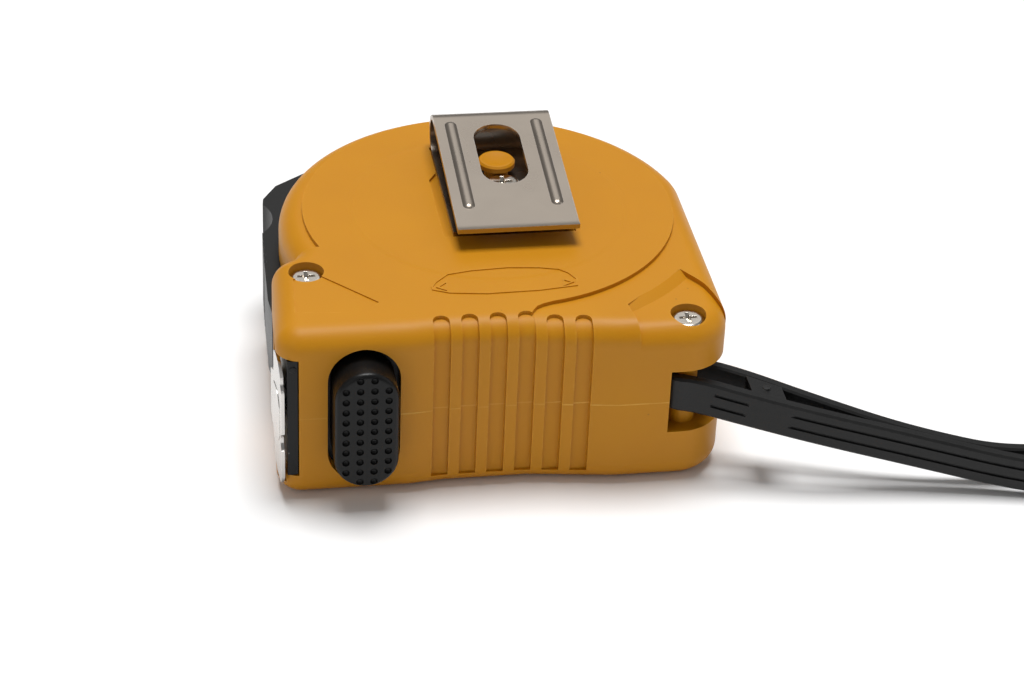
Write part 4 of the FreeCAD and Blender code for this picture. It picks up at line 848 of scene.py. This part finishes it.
# %% [markdown]
# ## The brake button
# A tall block whose four long edges are bevelled until its ends are half round, with a rounded rim
# and a field of small round dimples in its face for grip. A wide flange keeps it in the case.

# %% The brake button
BUTTON_X = -22.55
MID = 14.0
BUTTON_HALF_WIDTH = 4.65
BUTTON_HALF_LENGTH = 9.7
BUTTON_FACE, BUTTON_BACK = -38.0, -30.2
button = add_block(
    "button_cap",
    (BUTTON_X - BUTTON_HALF_WIDTH, BUTTON_FACE, MID - BUTTON_HALF_LENGTH),
    (BUTTON_X + BUTTON_HALF_WIDTH, BUTTON_BACK, MID + BUTTON_HALF_LENGTH),
)
pick(button, edges=lambda e: abs(e.verts[0].co.y - e.verts[1].co.y) > 0.001)
bpy.ops.mesh.bevel(offset=4.64 * MM, segments=18)
bpy.ops.mesh.select_all(action="SELECT")
bpy.ops.mesh.remove_doubles(threshold=1e-6)
close_edit()
pick(
    button,
    edges=lambda e: all(v.co.y < (BUTTON_FACE + 0.01) * MM for v in e.verts)
    and any(f.normal.y > -0.5 for f in e.link_faces),
)
bpy.ops.mesh.bevel(offset=0.8 * MM, segments=5)
close_edit()

DIMPLE_PITCH = (2.03, 1.73)
DIMPLE_RADIUS = 0.56
DIMPLE_DEPTH_Y = -38.04
spots = [
    (column, row)
    for row in range(-5, 6)
    for column in (-1.5, -0.5, 0.5, 1.5)
    if abs(row) < 5 or abs(column) < 1
]
deselect_all()
bpy.ops.mesh.primitive_uv_sphere_add(segments=16, ring_count=10, radius=DIMPLE_RADIUS * MM)
pip = bpy.context.object
pips = [
    copy_of(pip, "pip", (BUTTON_X + column * DIMPLE_PITCH[0], DIMPLE_DEPTH_Y, MID + row * DIMPLE_PITCH[1]))
    for column, row in spots
]
bpy.data.objects.remove(pip)
focus(pips[0])
for one in pips:
    one.select_set(True)
bpy.ops.object.join()
carve(button, pips[0])
flange = add_block("flange", (BUTTON_X - 6.25, -31.4, 2.3), (BUTTON_X + 6.25, BUTTON_BACK, 25.1))
carve(button, flange, operation="UNION")
even_shading(button)
install(button, "brake", "button_plastic", "brake_button")
print("dimples:", len(spots))

# %% [markdown]
# ## The thumb lock
# A curved black slider that covers the nose of the case. Its side view is drawn by moving the
# points of a flat ring, then drawn out to its width. A scoop for the thumb is hollowed near its
# top, with a few grip grooves below it. Behind it are a web, the lips that hold it, and two prongs.

# %% The thumb lock
LOCK_LOW, LOCK_HIGH = 8.0, 20.0
LOCK_SIDE = [
    (-34.1, -14.6), (-32.35, -14.6), (-32.35, -5.3), (-29.6, -3.0), (-29.6, 5.0), (-27.6, 12.0),
    (-24.6, 17.5), (-20.6, 22.0), (-16.6, 25.4), (-18.6, 27.0), (-25.4, 27.0), (-30.4, 23.2),
    (-32.7, 19.2), (-33.5, 12.2), (-34.0, 1.6), (-34.4, -10.7),
]
deselect_all()
bpy.ops.mesh.primitive_circle_add(vertices=len(LOCK_SIDE), radius=0.01, fill_type="NGON")
lock = bpy.context.object
lock.name = lock.data.name = "thumb_slider"
for vertex, (x, y) in zip(lock.data.vertices, LOCK_SIDE):
    vertex.co = mm(x, y, LOCK_LOW)
pick(lock, faces=lambda f: True)
bpy.ops.mesh.extrude_region_move(TRANSFORM_OT_translate={"value": (0, 0, (LOCK_HIGH - LOCK_LOW) * MM)})
bpy.ops.mesh.select_all(action="SELECT")
bpy.ops.mesh.normals_make_consistent(inside=False)
close_edit()
scoop = add_rod("scoop", 7.0, (-38.7, 13.6, 5), (-38.7, 13.6, 23), 96)
grips = [add_rod("grip", 0.5, (-34.15, y, 5), (-34.15, y, 23), 24) for y in (6.3, 4.3, 2.3, 0.3)]
carve(lock, scoop, *grips)
soften(lock, 0.55, 4, 32)
behind = [
    add_block("web", (-30.0, -2, LOCK_LOW), (-26.4, 7.4, LOCK_HIGH)),
    add_block("lips", (-27.6, -2, LOCK_LOW - 1.2), (-26.4, 7.4, LOCK_HIGH + 1.2)),
    add_block("prong_low", (-33.6, -20.84, 8.1), (-32.45, -14.1, 9.5)),
    add_block("prong_high", (-33.6, -20.84, 18.5), (-32.45, -14.1, 19.9)),
]
carve(lock, *behind, operation="UNION")
even_shading(lock)
install(lock, "lock", "lock_plastic", "thumb_lock")

# %% [markdown]
# ## The end hook and the bumper
# Both belong to the mouth and slope with the blade, so they are modelled level beside the mouth and
# then tilted about it. The hook is a plate with its corners cut round, a raised oval in its face,
# two nicks in its lower edge, and a tang with three slots in which it slides on its rivets.

# %% The end hook
MOUTH = (-34.3, -27.0925)
MOUTH_TILT = 5.0
PLATE_BACK, PLATE_SHEET = -0.35, 0.47
HOOK_SIDE = [
    (-7.2, 4.4), (-7.2, 18.4), (-6.4, 21.2), (-4.6, 22.7), (-2.4, 23.0), (-0.9, 22.4), (-0.8, 18.9),
    (1.5, 17.9), (1.5, 10.1), (-0.8, 9.1), (-1.3, 4.8), (-3.4, 3.2), (-6.4, 2.95),
]


def at_mouth(along, height, z):
    return (MOUTH[0] + along, MOUTH[1] + height, z)


deselect_all()
bpy.ops.mesh.primitive_circle_add(vertices=len(HOOK_SIDE), radius=0.01, fill_type="NGON")
hook = bpy.context.object
hook.name = hook.data.name = "sliding_hook"
for vertex, (height, z) in zip(hook.data.vertices, HOOK_SIDE):
    vertex.co = mm(*at_mouth(PLATE_BACK, height, z))
pick(hook, faces=lambda f: True)
bpy.ops.mesh.extrude_region_move(TRANSFORM_OT_translate={"value": (-PLATE_SHEET * MM, 0, 0)})
bpy.ops.mesh.select_all(action="SELECT")
bpy.ops.mesh.normals_make_consistent(inside=False)
close_edit()
boss = add_block("boss", at_mouth(-0.9, -5.6, 8.6), at_mouth(-0.5, 0.6, 17.4))
pick(boss, edges=lambda e: abs(e.verts[0].co.x - e.verts[1].co.x) > 1e-5)
bpy.ops.mesh.bevel(offset=2.6 * MM, segments=8)
close_edit()
tang = add_block("tang", at_mouth(-0.6, 0.6, MID - 4), at_mouth(9.5, 1.15, MID + 4))
carve(hook, boss, tang, operation="UNION")
nicks = [add_rod("nick", 1.6, at_mouth(-2, -7.9, z), at_mouth(1, -7.9, z), 40) for z in (20.4, 10.4)]
slots = []
SLOT_RADIUS = 1.0
SLOT_RUN = 1.0
for along, across in ((3.0, -2.2), (3.0, 2.2), (7.0, 0.0)):
    centre = MID + across
    low, high = centre - SLOT_RADIUS, centre + SLOT_RADIUS
    slots.append(add_block("slot", at_mouth(along, 0, low), at_mouth(along + SLOT_RUN, 2, high)))
    for x in (along, along + SLOT_RUN):
        slots.append(add_rod("slot_end", SLOT_RADIUS, at_mouth(x, 0, centre), at_mouth(x, 2, centre), 32))
carve(hook, *nicks, *slots)
soften(hook, 0.14, 3, 32)
tilt(hook, MOUTH_TILT, (*MOUTH, MID), "Z")
install(hook, "hook", "hook_nickel", "end_hook")

# %% The bumper
bumper = add_block("mouth_bumper", at_mouth(0.14, -6.6, 4.2), at_mouth(1.72, -0.95, 23.8))
nub = add_rod("nub", 0.5, at_mouth(0.95, -6.75, 22.4), at_mouth(0.95, -5, 22.4), 32)
carve(bumper, nub, operation="UNION")
soften(bumper, 0.14, 3)
tilt(bumper, MOUTH_TILT, (*MOUTH, MID), "Z")
install(bumper, "case", "guard_rubber", "mouth_guard")

# %% [markdown]
# ## The floor and the light
# A pale seamless floor and four soft lights: one high over the object and a little behind it, a
# weak card far behind that the clip mirrors, and two weak ones from the front left and the right.
# The high light gives a short soft shadow under the base; the card gives the plated parts a calm
# reflection.

# %% The floor
deselect_all()
bpy.ops.mesh.primitive_plane_add(size=6, location=(0, 0, 0))
floor = bpy.context.object
floor.name = "floor"
paper, tree, shader = new_finish("paper", Roughness=0.9, Specular_IOR_Level=0.1)
shader.inputs["Base Color"].default_value = (0.93, 0.93, 0.93, 1)
floor.data.materials.append(paper)


# %% The lights
def soft_light(name, spot, target, size, power):
    data = bpy.data.lights.new(name, "AREA")
    data.shape = "RECTANGLE"
    data.size, data.size_y = size
    data.energy = power
    lamp = bpy.data.objects.new(name, data)
    bpy.context.scene.collection.objects.link(lamp)
    lamp.location = spot
    lamp.rotation_euler = (Vector(target) - Vector(spot)).to_track_quat("-Z", "Y").to_euler()
    return lamp


soft_light("overhead", (0.05, 0.28, 2.0), (0, 0, 0), (0.95, 0.8), 39.0)
soft_light("back_card", (0.2, 1.0, 0.95), (0, 0, 0.03), (0.9, 0.6), 1.2)
soft_light("front_left", (-0.7, -0.6, 0.5), (0, 0, 0.01), (0.5, 0.5), 0.55)
soft_light("right", (0.8, -0.2, 0.45), (0, 0, 0.01), (0.4, 0.6), 0.6)
world = bpy.data.worlds.new("studio")
world.use_nodes = True
world.node_tree.nodes["Background"].inputs["Color"].default_value = (1, 1, 1, 1)
world.node_tree.nodes["Background"].inputs["Strength"].default_value = 0.235
bpy.context.scene.world = world
bpy.context.scene.view_settings.view_transform = "Standard"
